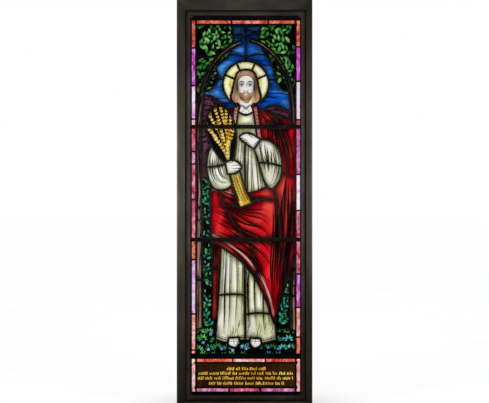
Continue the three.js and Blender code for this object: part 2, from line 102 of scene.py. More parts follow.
def smooth(points, closed=True, step=STEP):
    """A curve through the points. A point with a third entry is a sharp corner."""
    places = np.array([p[:2] for p in points], float)
    sharp = [len(p) > 2 for p in points]
    count = len(points)
    made = []
    for i in range(count if closed else count - 1):
        j = (i + 1) % count
        a, b = places[i], places[j]
        chord = b - a
        size = np.linalg.norm(chord)
        start = end = None
        if not sharp[i] and (closed or i > 0):
            start = eased((b - places[i - 1]) / 2, size)
        if not sharp[j] and (closed or i + 2 < count):
            end = eased((places[(i + 2) % count] - a) / 2, size)
        if start is None and end is None:
            start = end = chord
        elif start is None:
            start = 1.5 * chord - 0.5 * end
        elif end is None:
            end = 1.5 * chord - 0.5 * start
        parts = max(1, round(size / step))
        t = np.arange(parts)[:, None] / parts
        made.append(
            (2 * t**3 - 3 * t**2 + 1) * a
            + (t**3 - 2 * t**2 + t) * start
            + (3 * t**2 - 2 * t**3) * b
            + (t**3 - t**2) * end
        )
    if not closed:
        made.append(places[-1:])
    return np.concatenate(made)


def path(points, step=STEP):
    """An open curve through the points."""
    return smooth(points, closed=False, step=step)


def circle(x, z, radius, sides=None):
    sides = sides or max(12, round(2 * math.pi * radius / STEP))
    angle = 2 * math.pi * np.arange(sides) / sides
    return np.stack([x + radius * np.cos(angle), z + radius * np.sin(angle)], 1)


def rectangle(x0, x1, z0, z1):
    return np.array([(x0, z0), (x1, z0), (x1, z1), (x0, z1)], float)


def direction(degrees):
    """A unit vector, 0 degrees being to the right and 90 up."""
    return np.array((math.cos(math.radians(degrees)), math.sin(math.radians(degrees))))


def across(line):
    """Unit vectors to the left of an open line."""
    along = np.gradient(line, axis=0)
    along /= np.linalg.norm(along, axis=1)[:, None] + 1e-9
    return np.stack([-along[:, 1], along[:, 0]], 1)


def lengthwise(line):
    """How far along the line each point is, from 0 to 1."""
    gaps = np.linalg.norm(np.diff(line, axis=0), axis=1)
    return np.concatenate([[0], np.cumsum(gaps)]) / max(gaps.sum(), 1e-9)


def band(line, half):
    """The outline of a band along an open line; half is a width or one for each point."""
    side = across(line) * (np.ones(len(line)) * half)[:, None]
    return np.concatenate([line - side, (line + side)[::-1]])


def tapering(line, start_width, end_width):
    """Half the width at each point of a line."""
    return (start_width + (end_width - start_width) * lengthwise(line)) / 2


def limb(points, start_width, end_width):
    line = path(points)
    return band(line, tapering(line, start_width, end_width))


TAPERS = {
    "both": lambda t: np.sin(np.pi * np.clip(t, 0.0, 1.0)) ** 0.7,
    "end": lambda t: np.clip(1 - t, 0.0, 1.0) ** 0.6,
    "none": lambda t: np.ones_like(t),
}


def stroke(points, width, taper="both", step=STEP):
    """The outline of a brush stroke along a smooth line."""
    line = path(points, step)
    return band(line, np.maximum(TAPERS[taper](lengthwise(line)) * width / 2, 0.15))


def leaf(x, z, length, width, degrees, points=5):
    """A pointed leaf whose stalk end is at x, z."""
    t = np.linspace(0, 1, points + 2)
    half = width / 2 * np.sin(np.pi * t**0.85)
    upper = np.stack([t * length, half], 1)
    lower = np.stack([t * length, -half], 1)[1:-1][::-1]
    return turned(np.concatenate([upper, lower]), degrees) + (x, z)


def turned(points, degrees):
    c, s = math.cos(math.radians(degrees)), math.sin(math.radians(degrees))
    return np.asarray(points) @ np.array([(c, s), (-s, c)])


def inside(points, outline):
    """Which of the points lie inside the closed outline."""
    found = np.zeros(len(points), bool)
    low, high = outline.min(0), outline.max(0)
    near = np.flatnonzero(((points > low) & (points < high)).all(1))
    if not len(near):
        return found
    x, z = points[near].T[:, :, None]
    ax, az = outline.T[:, None]
    bx, bz = np.roll(outline, -1, 0).T[:, None]
    side = (bx - ax) * (z - az) - (x - ax) * (bz - az)
    turns = ((az <= z) & (bz > z) & (side > 0)).sum(1) - ((az > z) & (bz <= z) & (side < 0)).sum(1)
    found[near] = turns != 0
    return found


def runs(line, keep):
    """The stretches of a line on which keep(points) is true."""
    made, current = [], []
    state = keep(line)
    for i, point in enumerate(line):
        if state[i]:
            current.append(point)
        if i + 1 == len(line) or state[i] == state[i + 1]:
            continue
        low, high = (line[i], line[i + 1]) if state[i] else (line[i + 1], line[i])
        for _ in range(8):  # closes in on where the line crosses the edge
            middle = (low + high) / 2
            low, high = (middle, high) if keep(middle[None])[0] else (low, middle)
        current.append(low)
        if state[i]:
            made.append(current)
            current = []
    made.append(current)
    return [np.array(run) for run in made if len(run) > 1]


# ---- the picture's areas, in painter's order ----------------------------------------------------
OVER = 8.0  # how far the outermost areas run past the picture's sight
LEFT, RIGHT = -PICTURE - OVER, PICTURE + OVER
TOP, FOOT = PICTURE_TOP + OVER, BAR_HEIGHTS[2]
HALO = (0.0, 1622.0)
HALO_OUTER, HALO_INNER = 115.0, 78.0
SPOKE_START = 60.0  # the leads across the halo run from this radius

# Areas that follow a line: its points, and the width at its start and at its end.
LIMBS = {
    "limb_right": (
        [(240, 340), (238, 900), (238, 1380), (224, 1590), (178, 1716), (104, 1802), (24, 1842)],
        48, 14,
    ),
    "limb_left": (
        [(-242, 340), (-238, 900), (-240, 1300), (-222, 1560), (-170, 1706), (-100, 1790), (-22, 1832)],
        52, 16,
    ),
    "lapel_left": ([(-46, 1512), (-58, 1430), (-70, 1330)], 24, 24),
    "lapel_right": ([(46, 1512), (58, 1430), (76, 1300)], 24, 24),
}

AREAS = {
    "sky": rectangle(LEFT, RIGHT, FOOT, TOP),
    "hill": smooth([(LEFT, 1536, 1), (-190, 1566), (-112, 1520), (0, 1440), (110, 1508), (176, 1508),
                    (RIGHT, 1462, 1), (RIGHT, FOOT, 1), (LEFT, FOOT, 1)]),
    "hedge": smooth([(LEFT, 1132, 1), (-200, 1150), (0, 1000), (120, 700), (RIGHT, 690, 1), (RIGHT, FOOT, 1),
                     (LEFT, FOOT, 1)]),
    "crown_left": smooth([(LEFT, TOP, 1), (LEFT, 1460, 1), (-232, 1500, 1), (-206, 1592, 1), (-172, 1596),
                          (-136, 1650), (-146, 1706), (-84, 1768), (-64, 1840), (-72, TOP, 1)]),
    "crown_right": smooth([(RIGHT, TOP, 1), (78, TOP, 1), (66, 1840), (92, 1780), (132, 1716), (150, 1640),
                           (186, 1592), (214, 1590, 1), (232, 1500, 1), (RIGHT, 1460, 1)]),
    "limb_right": limb(*LIMBS["limb_right"]),
    "limb_left": limb(*LIMBS["limb_left"]),
    "ground": smooth([(LEFT, 392, 1), (-150, 408), (0, 366), (150, 402), (RIGHT, 384, 1), (RIGHT, FOOT, 1),
                      (LEFT, FOOT, 1)]),
    "halo": circle(*HALO, HALO_OUTER),
    "mantle": smooth([(-40, 1508, 1), (-104, 1486), (-150, 1410), (-170, 1200), (-172, 900), (-168, 640),
                      (-172, 440, 1), (-96, 470, 1), (170, 700, 1), (RIGHT, 900, 1), (RIGHT, 1396, 1),
                      (222, 1436), (104, 1486), (40, 1508, 1)]),
    "robe": smooth([(-48, 1500, 1), (-74, 1300), (-118, 900), (-134, 620), (-152, 346, 1), (-84, 328),
                    (-4, 342), (70, 326), (154, 344, 1), (130, 700), (114, 1060), (74, 1300), (48, 1500, 1)]),
    "lapel_left": limb(*LIMBS["lapel_left"]),
    "lapel_right": limb(*LIMBS["lapel_right"]),
    "swag": smooth([(-178, 1130, 1), (-90, 1116), (0, 1078), (100, 1106), (186, 1176, 1), (RIGHT, 1150, 1),
                    (RIGHT, 800, 1), (200, 620), (140, 424, 1), (108, 520), (62, 622), (0, 712), (-80, 780),
                    (-176, 836, 1)]),
    "sleeve_right": smooth([(176, 1262), (176, 1160), (132, 1098), (92, 1136), (60, 1240), (40, 1298, 1),
                            (72, 1346, 1), (136, 1328)]),
    "sleeve_left": smooth([(-150, 1330, 1), (-184, 1290), (-196, 1200), (-168, 1108), (-110, 1092),
                           (-60, 1124, 1), (-60, 1190, 1), (-98, 1240, 1)]),
    "stems": smooth([(-92, 1214, 1), (-66, 1110), (-30, 1004, 1), (34, 1024, 1), (-10, 1120),
                     (-34, 1206, 1)]),
    "ears": smooth([(-66, 1228, 1), (-48, 1340), (-62, 1440), (-110, 1506), (-172, 1498), (-200, 1430),
                    (-182, 1340), (-140, 1266), (-104, 1226, 1)]),
    "hand_left": smooth([(-104, 1230, 1), (-60, 1242), (-22, 1212), (-44, 1180), (-92, 1172, 1)]),
    "hand_right": smooth([(74, 1346, 1), (10, 1378), (-32, 1358), (-4, 1326), (42, 1298, 1)]),
    "foot_left": smooth([(-84, 354, 1), (-88, 318), (-52, 304), (-30, 328), (-36, 356, 1)]),
    "foot_right": smooth([(24, 354, 1), (18, 326), (44, 302), (76, 318), (72, 352, 1)]),
    "head": smooth([(0, 1694), (44, 1676), (66, 1600), (74, 1546), (30, 1512, 1), (38, 1484, 1), (0, 1468),
                    (-38, 1484, 1), (-30, 1512, 1), (-74, 1546), (-66, 1600), (-44, 1676)]),
}
ORDER = list(AREAS)

# Each area's CAD node without its panel, its glass, how dark the fired matt paint is against a lead and
# how far it reaches from it.
LOOKS = {
    "sky": ("sky", "blue", 0.3, 18),
    "hill": ("hill", "violet", 0.3, 16),
    "hedge": ("hedge", "teal", 0.55, 8),
    "crown_left": ("tree_left", "green", 0.5, 10),
    "crown_right": ("tree_right", "green", 0.5, 10),
    "limb_right": ("tree_right", "bark", 0.4, 8),
    "limb_left": ("tree_left", "bark", 0.4, 8),
    "ground": ("ground", "grass", 0.5, 8),
    "halo": ("halo", "halo", 0.55, 6),
    "mantle": ("mantle", "ruby", 0.2, 17),
    "robe": ("robe", "cream", 0.3, 13),
    "lapel_left": ("robe", "salmon", 0.5, 6),
    "lapel_right": ("robe", "salmon", 0.5, 6),
    "swag": ("swag", "ruby", 0.2, 20),
    "sleeve_right": ("sleeve_right", "cream", 0.3, 13),
    "sleeve_left": ("sleeve_left", "cream", 0.3, 13),
    "stems": ("wheat_stems", "gold", 0.5, 7),
    "ears": ("wheat_ears", "gold", 0.6, 6),
    "hand_left": ("hand_left", "flesh", 0.5, 6),
    "hand_right": ("hand_right", "flesh", 0.5, 6),
    "foot_left": ("foot_left", "flesh", 0.5, 7),
    "foot_right": ("foot_right", "flesh", 0.5, 7),
    "head": ("head", "flesh", 0.75, 5),
}


def topmost(points):
    """The number of the area that shows at each point, or -1."""
    found = np.full(len(points), -1)
    for i, name in enumerate(ORDER):
        found[inside(points, AREAS[name])] = i
    return found


def spoke(degrees):
    return [HALO + radius * direction(degrees) for radius in (SPOKE_START, HALO_OUTER)]


# Leads across one colour of glass: (area, line).
CUTS = [("halo", spoke(degrees)) for degrees in (24, 66, 114, 156)] + [
    ("swag", [(-140, 1130), (-108, 1010), (-40, 900), (12, 836)]),
    ("swag", [(120, 1150), (158, 1020), (172, 838)]),
    ("swag", [(172, 852), (192, 740), (200, 600)]),
    ("swag", [(20, 852), (44, 750), (66, 590)]),
    ("robe", [(-6, 716), (-2, 540), (-4, 330)]),
    ("robe", [(0, 1380), (-6, 1240), (0, 1060)]),
    ("mantle", [(126, 1492), (168, 1400), (206, 1270), (200, 1140)]),
    ("sky", [(0, 1720), (0, 1925)]),
    ("sky", [(-90, 1862), (-30, 1868), (0, 1862), (40, 1870), (90, 1864)]),
    ("sky", [(-140, 1760), (-60, 1768), (0, 1758), (60, 1770), (130, 1762)]),
    ("sky", [(-190, 1640), (-110, 1650)]),
    ("sky", [(110, 1646), (200, 1636)]),
    ("robe", [(-140, 566), (-60, 572), (-5, 566)]),
    ("robe", [(-5, 470), (70, 478), (160, 468)]),
    ("robe", [(-80, 1404), (0, 1410), (80, 1402)]),
    ("sleeve_left", [(-200, 1206), (-140, 1212), (-92, 1226)]),
    ("sleeve_right", [(50, 1228), (120, 1226), (190, 1206)]),
    ("hedge", [(-262, 940), (-160, 948)]),
    ("hedge", [(-262, 660), (-160, 652)]),
    ("hedge", [(150, 560), (262, 566)]),
    ("crown_left", [(-262, 1768), (-180, 1756), (-90, 1782)]),
    ("crown_left", [(-262, 1640), (-120, 1662)]),
    ("crown_right", [(262, 1776), (170, 1764), (90, 1786)]),
    ("crown_right", [(262, 1650), (130, 1668)]),
    ("limb_left", [(-280, 640), (-200, 646)]),
    ("limb_left", [(-280, 1010), (-200, 1004)]),
    ("limb_left", [(-280, 1320), (-200, 1330)]),
    ("limb_left", [(-190, 1720), (-150, 1690)]),
    ("limb_right", [(200, 560), (280, 566)]),
    ("limb_right", [(200, 1260), (280, 1252)]),
    ("limb_right", [(190, 1730), (150, 1696)]),
    ("ground", [(-96, 420), (-90, 340), (-100, 260)]),
    ("ground", [(88, 420), (84, 340), (94, 260)]),
    ("mantle", [(-180, 700), (-120, 706)]),
    ("mantle", [(96, 1420), (150, 1448), (180, 1480)]),
    ("swag", [(-120, 1040), (-40, 1010), (60, 1040), (130, 1040)]),
]

# ---- paint --------------------------------------------------------------------------------------
# Marks: (area number, outline, tone, glass). A tone is the share of light that the fired paint lets
# through, 0 being solid black; a glass name repaints the place in another colour.
PAINT = []
SOFT = []  # soft shading: (area number, line, reach to its left, reach to its right, depth)
CLEAR, WASH, SHADE, DEEP, BLACK = 1.0, 0.62, 0.34, 0.13, 0.0
INSCRIPTION_GROUND = DEEP * 0.7


def paint(area, outline, tone=BLACK, glass=None):
    PAINT.append((ORDER.index(area), outline, tone, glass))


def brush(area, points, width, taper="both", step=STEP, tone=BLACK, glass=None):
    paint(area, stroke(points, width, taper, step), tone, glass)


def soften(area, line, left, right, depth):
    """Brushed matt paint that fades away from a line, on its left and on its right."""
    SOFT.append((ORDER.index(area), np.asarray(line, float), left, right, depth))


def between(a, b, t):
    """The line a share t of the way from guide line a to guide line b."""
    return (1 - t) * np.asarray(a, float) + t * np.asarray(b, float)


def trimmed(line, start, end):
    """A smooth line's points between two shares of its length."""
    fine = path(line, 4.0)
    t = lengthwise(fine)
    wanted = np.linspace(start, end, max(4, round((end - start) * len(fine) / 4)))
    return np.stack([np.interp(wanted, t, fine[:, 0]), np.interp(wanted, t, fine[:, 1])], 1)


def folds(area, a, b, count, width, shade, taper="both", spread=1.0, wander=3.0):
    """Fold lines in the cloth between two guide lines, each with a softer shade beside it."""
    for i in range(count):
        t = (i + 0.5 + rng.uniform(-0.28, 0.28)) / count
        start, end = rng.uniform(0, 0.22) * spread, 1 - rng.uniform(0, 0.3) * spread
        line = trimmed(between(a, b, t), start, end)
        line = line + across(line) * (wander * np.sin(rng.uniform(0, 6) + 5 * lengthwise(line)))[:, None]
        wide = width * rng.uniform(0.6, 1.3)
        soften(area, line, shade * rng.uniform(0.7, 1.3), shade * 0.3, rng.uniform(0.6, 0.92))
        brush(area, line[::2], wide, taper)


# ---- leads --------------------------------------------------------------------------------------
def area_runs(rect):
    """The leads that show inside a rectangle (x0, x1, z0, z1), as open lines."""
    room = rectangle(*rect)
    made = []
    for i, name in enumerate(ORDER[1:], 1):
        later = [AREAS[other] for other in ORDER[i + 1:]]
        loop = np.concatenate([AREAS[name], AREAS[name][:1]])
        half = len(loop) // 2

        def shown(points):
            kept = inside(points, room)
            for other in later:
                kept &= ~inside(points, other)
            return kept

        for part in (loop[: half + 1], loop[half:]):
            made += runs(part, shown)
    for name, points in CUTS:
        number = ORDER.index(name)

        def on_area(points):
            return inside(points, room) & (topmost(points) == number)

        made += runs(path(points), on_area)
    return [run for run in made if np.linalg.norm(np.diff(run, axis=0), axis=1).sum() > SHORTEST_LEAD]


def added(name, data):
    item = bpy.data.objects.new(name, data)
    bpy.context.scene.collection.objects.link(item)
    return item


def mesh_piece(name, points, faces, materials):
    """A new object from points in millimetres."""
    mesh = bpy.data.meshes.new(name)
    mesh.from_pydata((points * MM).tolist(), [], faces)
    for material in materials:
        mesh.materials.append(material)
    mesh.update()
    return added(name, mesh)


class Solid:
    """Vertices and faces of a net of leads in the making."""

    def __init__(self):
        self.points, self.faces, self.count = [], [], 0

    def add(self, points, faces):
        self.points.append(np.asarray(points, float))
        self.faces += [tuple(int(i) + self.count for i in face) for face in faces]
        self.count += len(points)

    def made(self, name):
        return mesh_piece(name, np.concatenate(self.points), self.faces, [LEAD_METAL])


def came(solid, line, half=FLANGE):
    """An H-section lead with rounded faces, along an open line."""
    face = [(-half, -LIP), (-0.8 * half, -SHOULDER), (-0.4 * half, -LEAD + 0.1), (0, -LEAD),
            (0.4 * half, -LEAD + 0.1), (0.8 * half, -SHOULDER), (half, -LIP), (WEB, -WEB_TOP)]
    section = face + [(-u, -y) for u, y in face]
    count = len(section)
    line = np.asarray(line, float)
    rings = [
        [(x + u * sx, y, z + u * sz) for u, y in section] for (x, z), (sx, sz) in zip(line, across(line))
    ]
    faces = [
        (r * count + i, (r + 1) * count + i, (r + 1) * count + (i + 1) % count, r * count + (i + 1) % count)
        for r in range(len(line) - 1)
        for i in range(count)
    ]
    faces.append(tuple(range(count)))
    faces.append(tuple((len(line) - 1) * count + i for i in reversed(range(count))))
    solid.add(np.array(rings).reshape(-1, 3), faces)


def flat_lead(solid, x0, x1, z0, z1):
    """A wide flat lead along a panel's edge, with eased arrises."""
    levels = [(-LEAD, ARRIS), (-LEAD + 0.8, 0), (LEAD - 0.8, 0), (LEAD, ARRIS)]
    points = [
        (x, y, z)
        for y, inset in levels
        for x, z in rectangle(x0 + inset, x1 - inset, z0 + inset, z1 - inset)
    ]
    faces = [(0, 1, 2, 3), (15, 14, 13, 12)]
    for low in (0, 4, 8):
        faces += [(low + i, low + 4 + i, low + 4 + (i + 1) % 4, low + (i + 1) % 4) for i in range(4)]
    solid.add(points, faces)


def solder(solid, x, z, size=1.0):
    """A flattened drop of solder over a joint, on both sides."""
    rings, sides = 5, 10
    reach = SOLDER * size * rng.uniform(0.85, 1.15)
    depth = LEAD + 0.7
    lobes = rng.uniform(0.88, 1.12, sides)
    points = [(x, -depth, z)]
    for r in range(1, rings):
        angle = math.pi * r / rings
        for i in range(sides):
            turn = 2 * math.pi * i / sides
            wide = reach * math.sin(angle) * lobes[i]
            points.append((x + wide * math.cos(turn), -depth * math.cos(angle), z + wide * math.sin(turn)))
    points.append((x, depth, z))
    faces = [(0, 1 + (i + 1) % sides, 1 + i) for i in range(sides)]
    for r in range(rings - 2):
        for i in range(sides):
            a, b = 1 + r * sides + i, 1 + r * sides + (i + 1) % sides
            faces.append((a, b, b + sides, a + sides))
    last = 1 + (rings - 2) * sides
    faces += [(last + i, last + (i + 1) % sides, len(points) - 1) for i in range(sides)]
    solid.add(points, [tuple(reversed(face)) for face in faces])


# ---- panes --------------------------------------------------------------------------------------
def cut_plane(outlines, loose=(), lines=()):
    """Triangles of the plane that no outline or open line crosses: (points, triangles, their middles)."""
    points, edges = [Vector((float(x), float(z))) for x, z in loose], []
    for line, closed in [(line, 0) for line in lines] + [(outline, 1) for outline in outlines]:
        first, count = len(points), len(line)
        points += [Vector((float(x), float(z))) for x, z in line]
        edges += [(first + i, first + (i + 1) % count) for i in range(count - 1 + closed)]
    made, _, faces = delaunay_2d_cdt(points, edges, [], 0, 1e-3)[:3]
    points = np.array([tuple(p) for p in made])
    triangles = np.array([face for face in faces if len(face) == 3])
    a, b, c = (points[triangles[:, i]] for i in range(3))
    turn = (b[:, 0] - a[:, 0]) * (c[:, 1] - a[:, 1]) - (b[:, 1] - a[:, 1]) * (c[:, 0] - a[:, 0])
    triangles[turn < 0] = triangles[turn < 0][:, ::-1]
    kept = np.abs(turn) > 1e-5
    return points, triangles[kept], ((a + b + c) / 3)[kept]


def islands(triangles):
    """A number for each triangle, the same for triangles that hang together by their edges."""
    owner = {}
    parent = list(range(len(triangles)))

    def root(i):
        while parent[i] != i:
            parent[i] = parent[parent[i]]
            i = parent[i]
        return i

    for i, (a, b, c) in enumerate(triangles.tolist()):
        for edge in ((a, b), (b, c), (c, a)):
            key = (min(edge), max(edge))
            if key in owner:
                parent[root(i)] = root(owner[key])
            else:
                owner[key] = i
    return np.array([root(i) for i in range(len(triangles))])


def soft_shading(points, leads):
    """How much light the brushed matt lets through at each point."""
    tree = KDTree(sum(len(lead) for lead in leads))
    count = 0
    for lead in leads:
        for x, z in lead:
            tree.insert((x, z, 0), count)
            count += 1
    tree.balance()
    away = np.array([tree.find((x, z, 0))[2] for x, z in points])
    area = topmost(points)
    dark, reach = np.array([LOOKS[name][2:] for name in ORDER])[area].T
    x, z = points.T
    patch = 1 + 0.35 * np.sin(x / 23 + 2 * np.sin(z / 41)) + 0.25 * np.sin(z / 17 - x / 31)
    value = 1 - (1 - dark) * np.exp(-((np.maximum(away - FLANGE, 0) / (reach * patch)) ** 2))
    for number, line, left, right, depth in SOFT:
        wide = 2 * max(left, right)
        low, high = line.min(0) - wide, line.max(0) + wide
        near = np.flatnonzero((area == number) & ((points > low) & (points < high)).all(1))
        if not len(near):
            continue
        gaps = points[near][:, None] - line[None]
        distance = np.linalg.norm(gaps, axis=2)
        closest = distance.argmin(1)
        side = (gaps[np.arange(len(near)), closest] * across(line)[closest]).sum(1)
        span = np.where(side > 0, left, right)
        fade = np.sin(np.pi * np.clip(lengthwise(line)[closest], 0.03, 0.97)) ** 0.5
        value[near] *= 1 - depth * fade * np.exp(-((distance.min(1) / span) ** 2))
    return np.clip(value, 0.05, 1)


def pane_piece(name, points, triangles, tones, glasses, soft=None):
    """Closed plates of glass over the triangles: painted in front, bare behind."""
    names = sorted(set(glasses))
    used, corners = np.unique(triangles, return_inverse=True)
    corners = corners.reshape(-1, 3)
    flat = points[used]
    count = len(used)
    front = np.column_stack([flat[:, 0], np.full(count, -GLASS), flat[:, 1]])
    back = front * (1, -1, 1)
    directed = {}
    for t, (a, b, c) in enumerate(corners.tolist()):
        for edge in ((a, b), (b, c), (c, a)):
            directed[edge] = t
    rim = [(edge, t) for edge, t in directed.items() if edge[::-1] not in directed]
    faces = [tuple(f) for f in corners.tolist()]
    faces += [(c + count, b + count, a + count) for a, b, c in corners.tolist()]
    faces += [(a, a + count, b + count, b) for (a, b), _ in rim]
    black = len(names)
    slots = [black if tone <= BLACK else names.index(glass) for tone, glass in zip(tones, glasses)]
    slots += [names.index(glass) for glass in glasses]
    slots += [names.index(glasses[t]) for _, t in rim]
    shade = list(tones) + [1.0] * (len(tones) + len(rim))
    hues = islands(triangles)
    shift = dict(zip(np.unique(hues).tolist(), rng.uniform(0, 1, len(np.unique(hues))).tolist()))
    own = [shift[h] for h in hues.tolist()]
    own += own + [own[t] for _, t in rim]
    brushed = np.ones(2 * count)
    if soft is not None:
        brushed[:count] = soft[used]
    materials = [GLASSES[glass] for glass in names] + [PAINT_BLACK]
    piece = mesh_piece(name, np.concatenate([front, back]), faces, materials)
    piece.data.polygons.foreach_set("material_index", slots)
    attributes = (("shade", "FACE", shade), ("own_tint", "FACE", own), ("soft", "POINT", brushed))
    for key, place, values in attributes:
        piece.data.attributes.new(key, "FLOAT", place).data.foreach_set("value", values)
    return piece


def seat(piece, node_name):
    """Puts a piece in the place of a CAD node."""
    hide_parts(node_name)
    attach(piece, "root")


# ---- materials ----------------------------------------------------------------------------------
BUMP_DEPTH = 0.001  # of the bumps on every material, in metres
GLASS_IOR = 1.06  # low, so the panes hardly bend or mirror the surround
SHADING_POWER = 2.4  # how steeply the fired matt paint darkens the glass
DARKEST_TINT = 0.8  # how much light the darkest of the pieces of one glass lets through
GRAIN_SCALE, DARKEST_GRAIN, GRAIN_SHARE = 420.0, 0.78, 0.8  # the stippling in the paint


def feed(tree, value, socket):
    """Gives a socket its value: a constant, or the output of another node."""
    if isinstance(value, bpy.types.NodeSocket):
        tree.links.new(value, socket)
    else:
        socket.default_value = value


def fill(tree, made, values):
    """Sets a node's inputs by their names, and its settings."""
    for key, value in values.items():
        if key in made.inputs:
            feed(tree, value, made.inputs[key])
        else:
            setattr(made, key, value)
    return made


def node(tree, kind, **values):
    return fill(tree, tree.nodes.new(kind), values)


def mix(tree, blend, a, b, factor=1.0):
    made = node(tree, "ShaderNodeMix", data_type="RGBA", blend_type=blend)
    for place, value in ((0, factor), (6, a), (7, b)):
        feed(tree, value, made.inputs[place])
    return made.outputs[2]


def combined(tree, operation, a, b):
    made = node(tree, "ShaderNodeMath", operation=operation)
    feed(tree, a, made.inputs[0])
    feed(tree, b, made.inputs[1])
    return made.outputs[0]


def attribute(tree, name):
    return node(tree, "ShaderNodeAttribute", attribute_name=name).outputs["Fac"]


def linear(*rgb):
    """A colour given as 0 to 255 on the screen, as the shader wants it."""
    made = [c / 255 for c in rgb]
    return tuple(c / 12.92 if c <= 0.04045 else ((c + 0.055) / 1.055) ** 2.4 for c in made) + (1.0,)


def ramp(tree, factor, stops):
    made = tree.nodes.new("ShaderNodeValToRGB")
    while len(made.color_ramp.elements) < len(stops):
        made.color_ramp.elements.new(0.5)
    for element, (place, colour) in zip(made.color_ramp.elements, stops):
        element.position = place
        element.color = colour
    tree.links.new(factor, made.inputs[0])
    return made.outputs[0]


def grey_ramp(tree, factor, *stops):
    return ramp(tree, factor, [(place, (value, value, value, 1)) for place, value in stops])


def noise(tree, scale, stretch=(1, 1, 1), detail=4.0, rough=0.55, twist=0.0):
    where = node(tree, "ShaderNodeTexCoord").outputs["Object"]
    place = node(tree, "ShaderNodeMapping", Vector=where, Scale=stretch).outputs[0]
    made = node(tree, "ShaderNodeTexNoise", Vector=place, Scale=scale, Detail=detail, Roughness=rough,
                Distortion=twist)
    return made.outputs["Fac"]


def new_material(name):
    material = bpy.data.materials.new(name)
    material.use_nodes = True
    return material, material.node_tree, material.node_tree.nodes["Principled BSDF"]


def bump(tree, height, strength):
    return node(tree, "ShaderNodeBump", Height=height, Strength=strength, Distance=BUMP_DEPTH).outputs[0]


def glass_material(name, dark, middle, bright, scale=7.0, stretch=(1, 1, 0.35), twist=1.2, warm=1.0):
    """Streaky antique glass: its colour wanders from dark to bright, and from piece to piece.
    The painted shading is a neutral grey where `warm` is 1, and turns olive above that."""
    material, tree, shader = new_material(name)
    streaks = noise(tree, scale, stretch, twist=twist)
    colour = ramp(tree, streaks, [(0.34, linear(*dark)), (0.48, linear(*middle)), (0.64, linear(*bright))])
    tint = grey_ramp(tree, attribute(tree, "own_tint"), (0.0, DARKEST_TINT), (1.0, 1))
    grain = grey_ramp(tree, noise(tree, GRAIN_SCALE, detail=2.0), (0.35, DARKEST_GRAIN), (0.6, 1))
    stipple = mix(tree, "MIX", (1, 1, 1, 1), grain, GRAIN_SHARE)
    shading = combined(tree, "MULTIPLY", attribute(tree, "shade"), attribute(tree, "soft"))
    matt = combined(tree, "POWER", shading, SHADING_POWER)
    warmer = combined(tree, "POWER", matt, warm)
    matt_colour = node(tree, "ShaderNodeCombineColor", Red=matt, Green=matt, Blue=warmer).outputs[0]
    for layer in (tint, stipple, matt_colour):
        colour = mix(tree, "MULTIPLY", colour, layer)
    fill(tree, shader, {
        "Base Color": colour,
        "Transmission Weight": 1.0,
        "Roughness": 0.32,
        "IOR": GLASS_IOR,
        "Normal": bump(tree, noise(tree, 60.0, (1, 1, 0.5), detail=2.0), 0.25),
    })
    return material


# The colours of each glass from dark to bright; then, where they aren't the usual ones, the scale, stretch
# and twist of its streaks and how warm the paint on it is.
GLASS_LOOKS = {
    "blue": ((6, 56, 160), (24, 104, 226), (84, 172, 255), 14.0, (0.3, 1, 1)),
    "violet": ((52, 26, 40), (84, 46, 66), (124, 74, 96)),
    "teal": ((24, 128, 104), (60, 186, 154), (120, 232, 200), 26.0),
    "green": ((20, 104, 34), (58, 160, 62), (120, 206, 110), 30.0),
    "leaf": ((60, 140, 50), (112, 196, 88), (176, 232, 140), 30.0),
    "bark": ((112, 76, 56), (164, 118, 92), (220, 176, 150), 16.0, (1, 1, 0.2)),
    "grass": ((34, 120, 50), (64, 168, 80), (120, 216, 120), 18.0),
    "halo": ((246, 244, 214), (255, 254, 240), (255, 255, 250)),
    "pale_stain": ((240, 226, 110), (252, 246, 168), (255, 252, 210), 22.0),
    "silver_stain": ((206, 178, 40), (236, 214, 84), (250, 240, 150), 22.0),
    "ruby": ((158, 0, 20), (236, 18, 32), (255, 84, 70), 7.0),
    "cream": ((226, 228, 180), (252, 252, 232), (255, 255, 252), 8.0, (1, 1, 0.35), 1.2, 1.35),
    "salmon": ((232, 112, 98), (252, 160, 138), (255, 206, 188), 12.0),
    "gold": ((196, 136, 22), (240, 194, 54), (254, 232, 130), 14.0),
    "flesh": ((244, 236, 226), (252, 246, 238), (255, 253, 250)),
    "hair_brown": ((156, 106, 72), (196, 148, 108), (232, 194, 150), 40.0, (1, 1, 0.3)),
    "flower_blue": ((40, 70, 200), (90, 130, 240), (170, 200, 255), 40.0),
    "amber": ((210, 148, 30), (246, 196, 60), (255, 230, 110), 20.0),
    "umber": ((150, 90, 30), (190, 122, 50), (220, 150, 70), 20.0),
    "rose": ((166, 36, 70), (226, 90, 122), (255, 184, 196), 42.0, (1, 1, 0.5), 1.5),
    "magenta": ((176, 20, 150), (232, 84, 224), (255, 232, 255), 42.0, (1, 1, 0.4), 1.5),
    "lilac": ((196, 84, 196), (248, 190, 248), (255, 252, 255), 42.0, (1, 1, 0.4), 1.5),
    "coral": ((170, 30, 34), (226, 84, 72), (255, 170, 130), 48.0, (0.6, 1, 0.6), 1.5),
    "pearl": ((222, 150, 220), (255, 232, 250), (255, 255, 255), 42.0, (1, 1, 0.4), 1.5),
    "mauve": ((140, 44, 100), (204, 102, 160), (250, 190, 226), 42.0, (1, 1, 0.5), 1.5),
    "blush": ((214, 84, 90), (250, 160, 156), (255, 244, 236), 42.0, (1, 1, 0.6), 1.5),
}
GLASSES = {key: glass_material(f"glass_{key}", *look) for key, look in GLASS_LOOKS.items()}


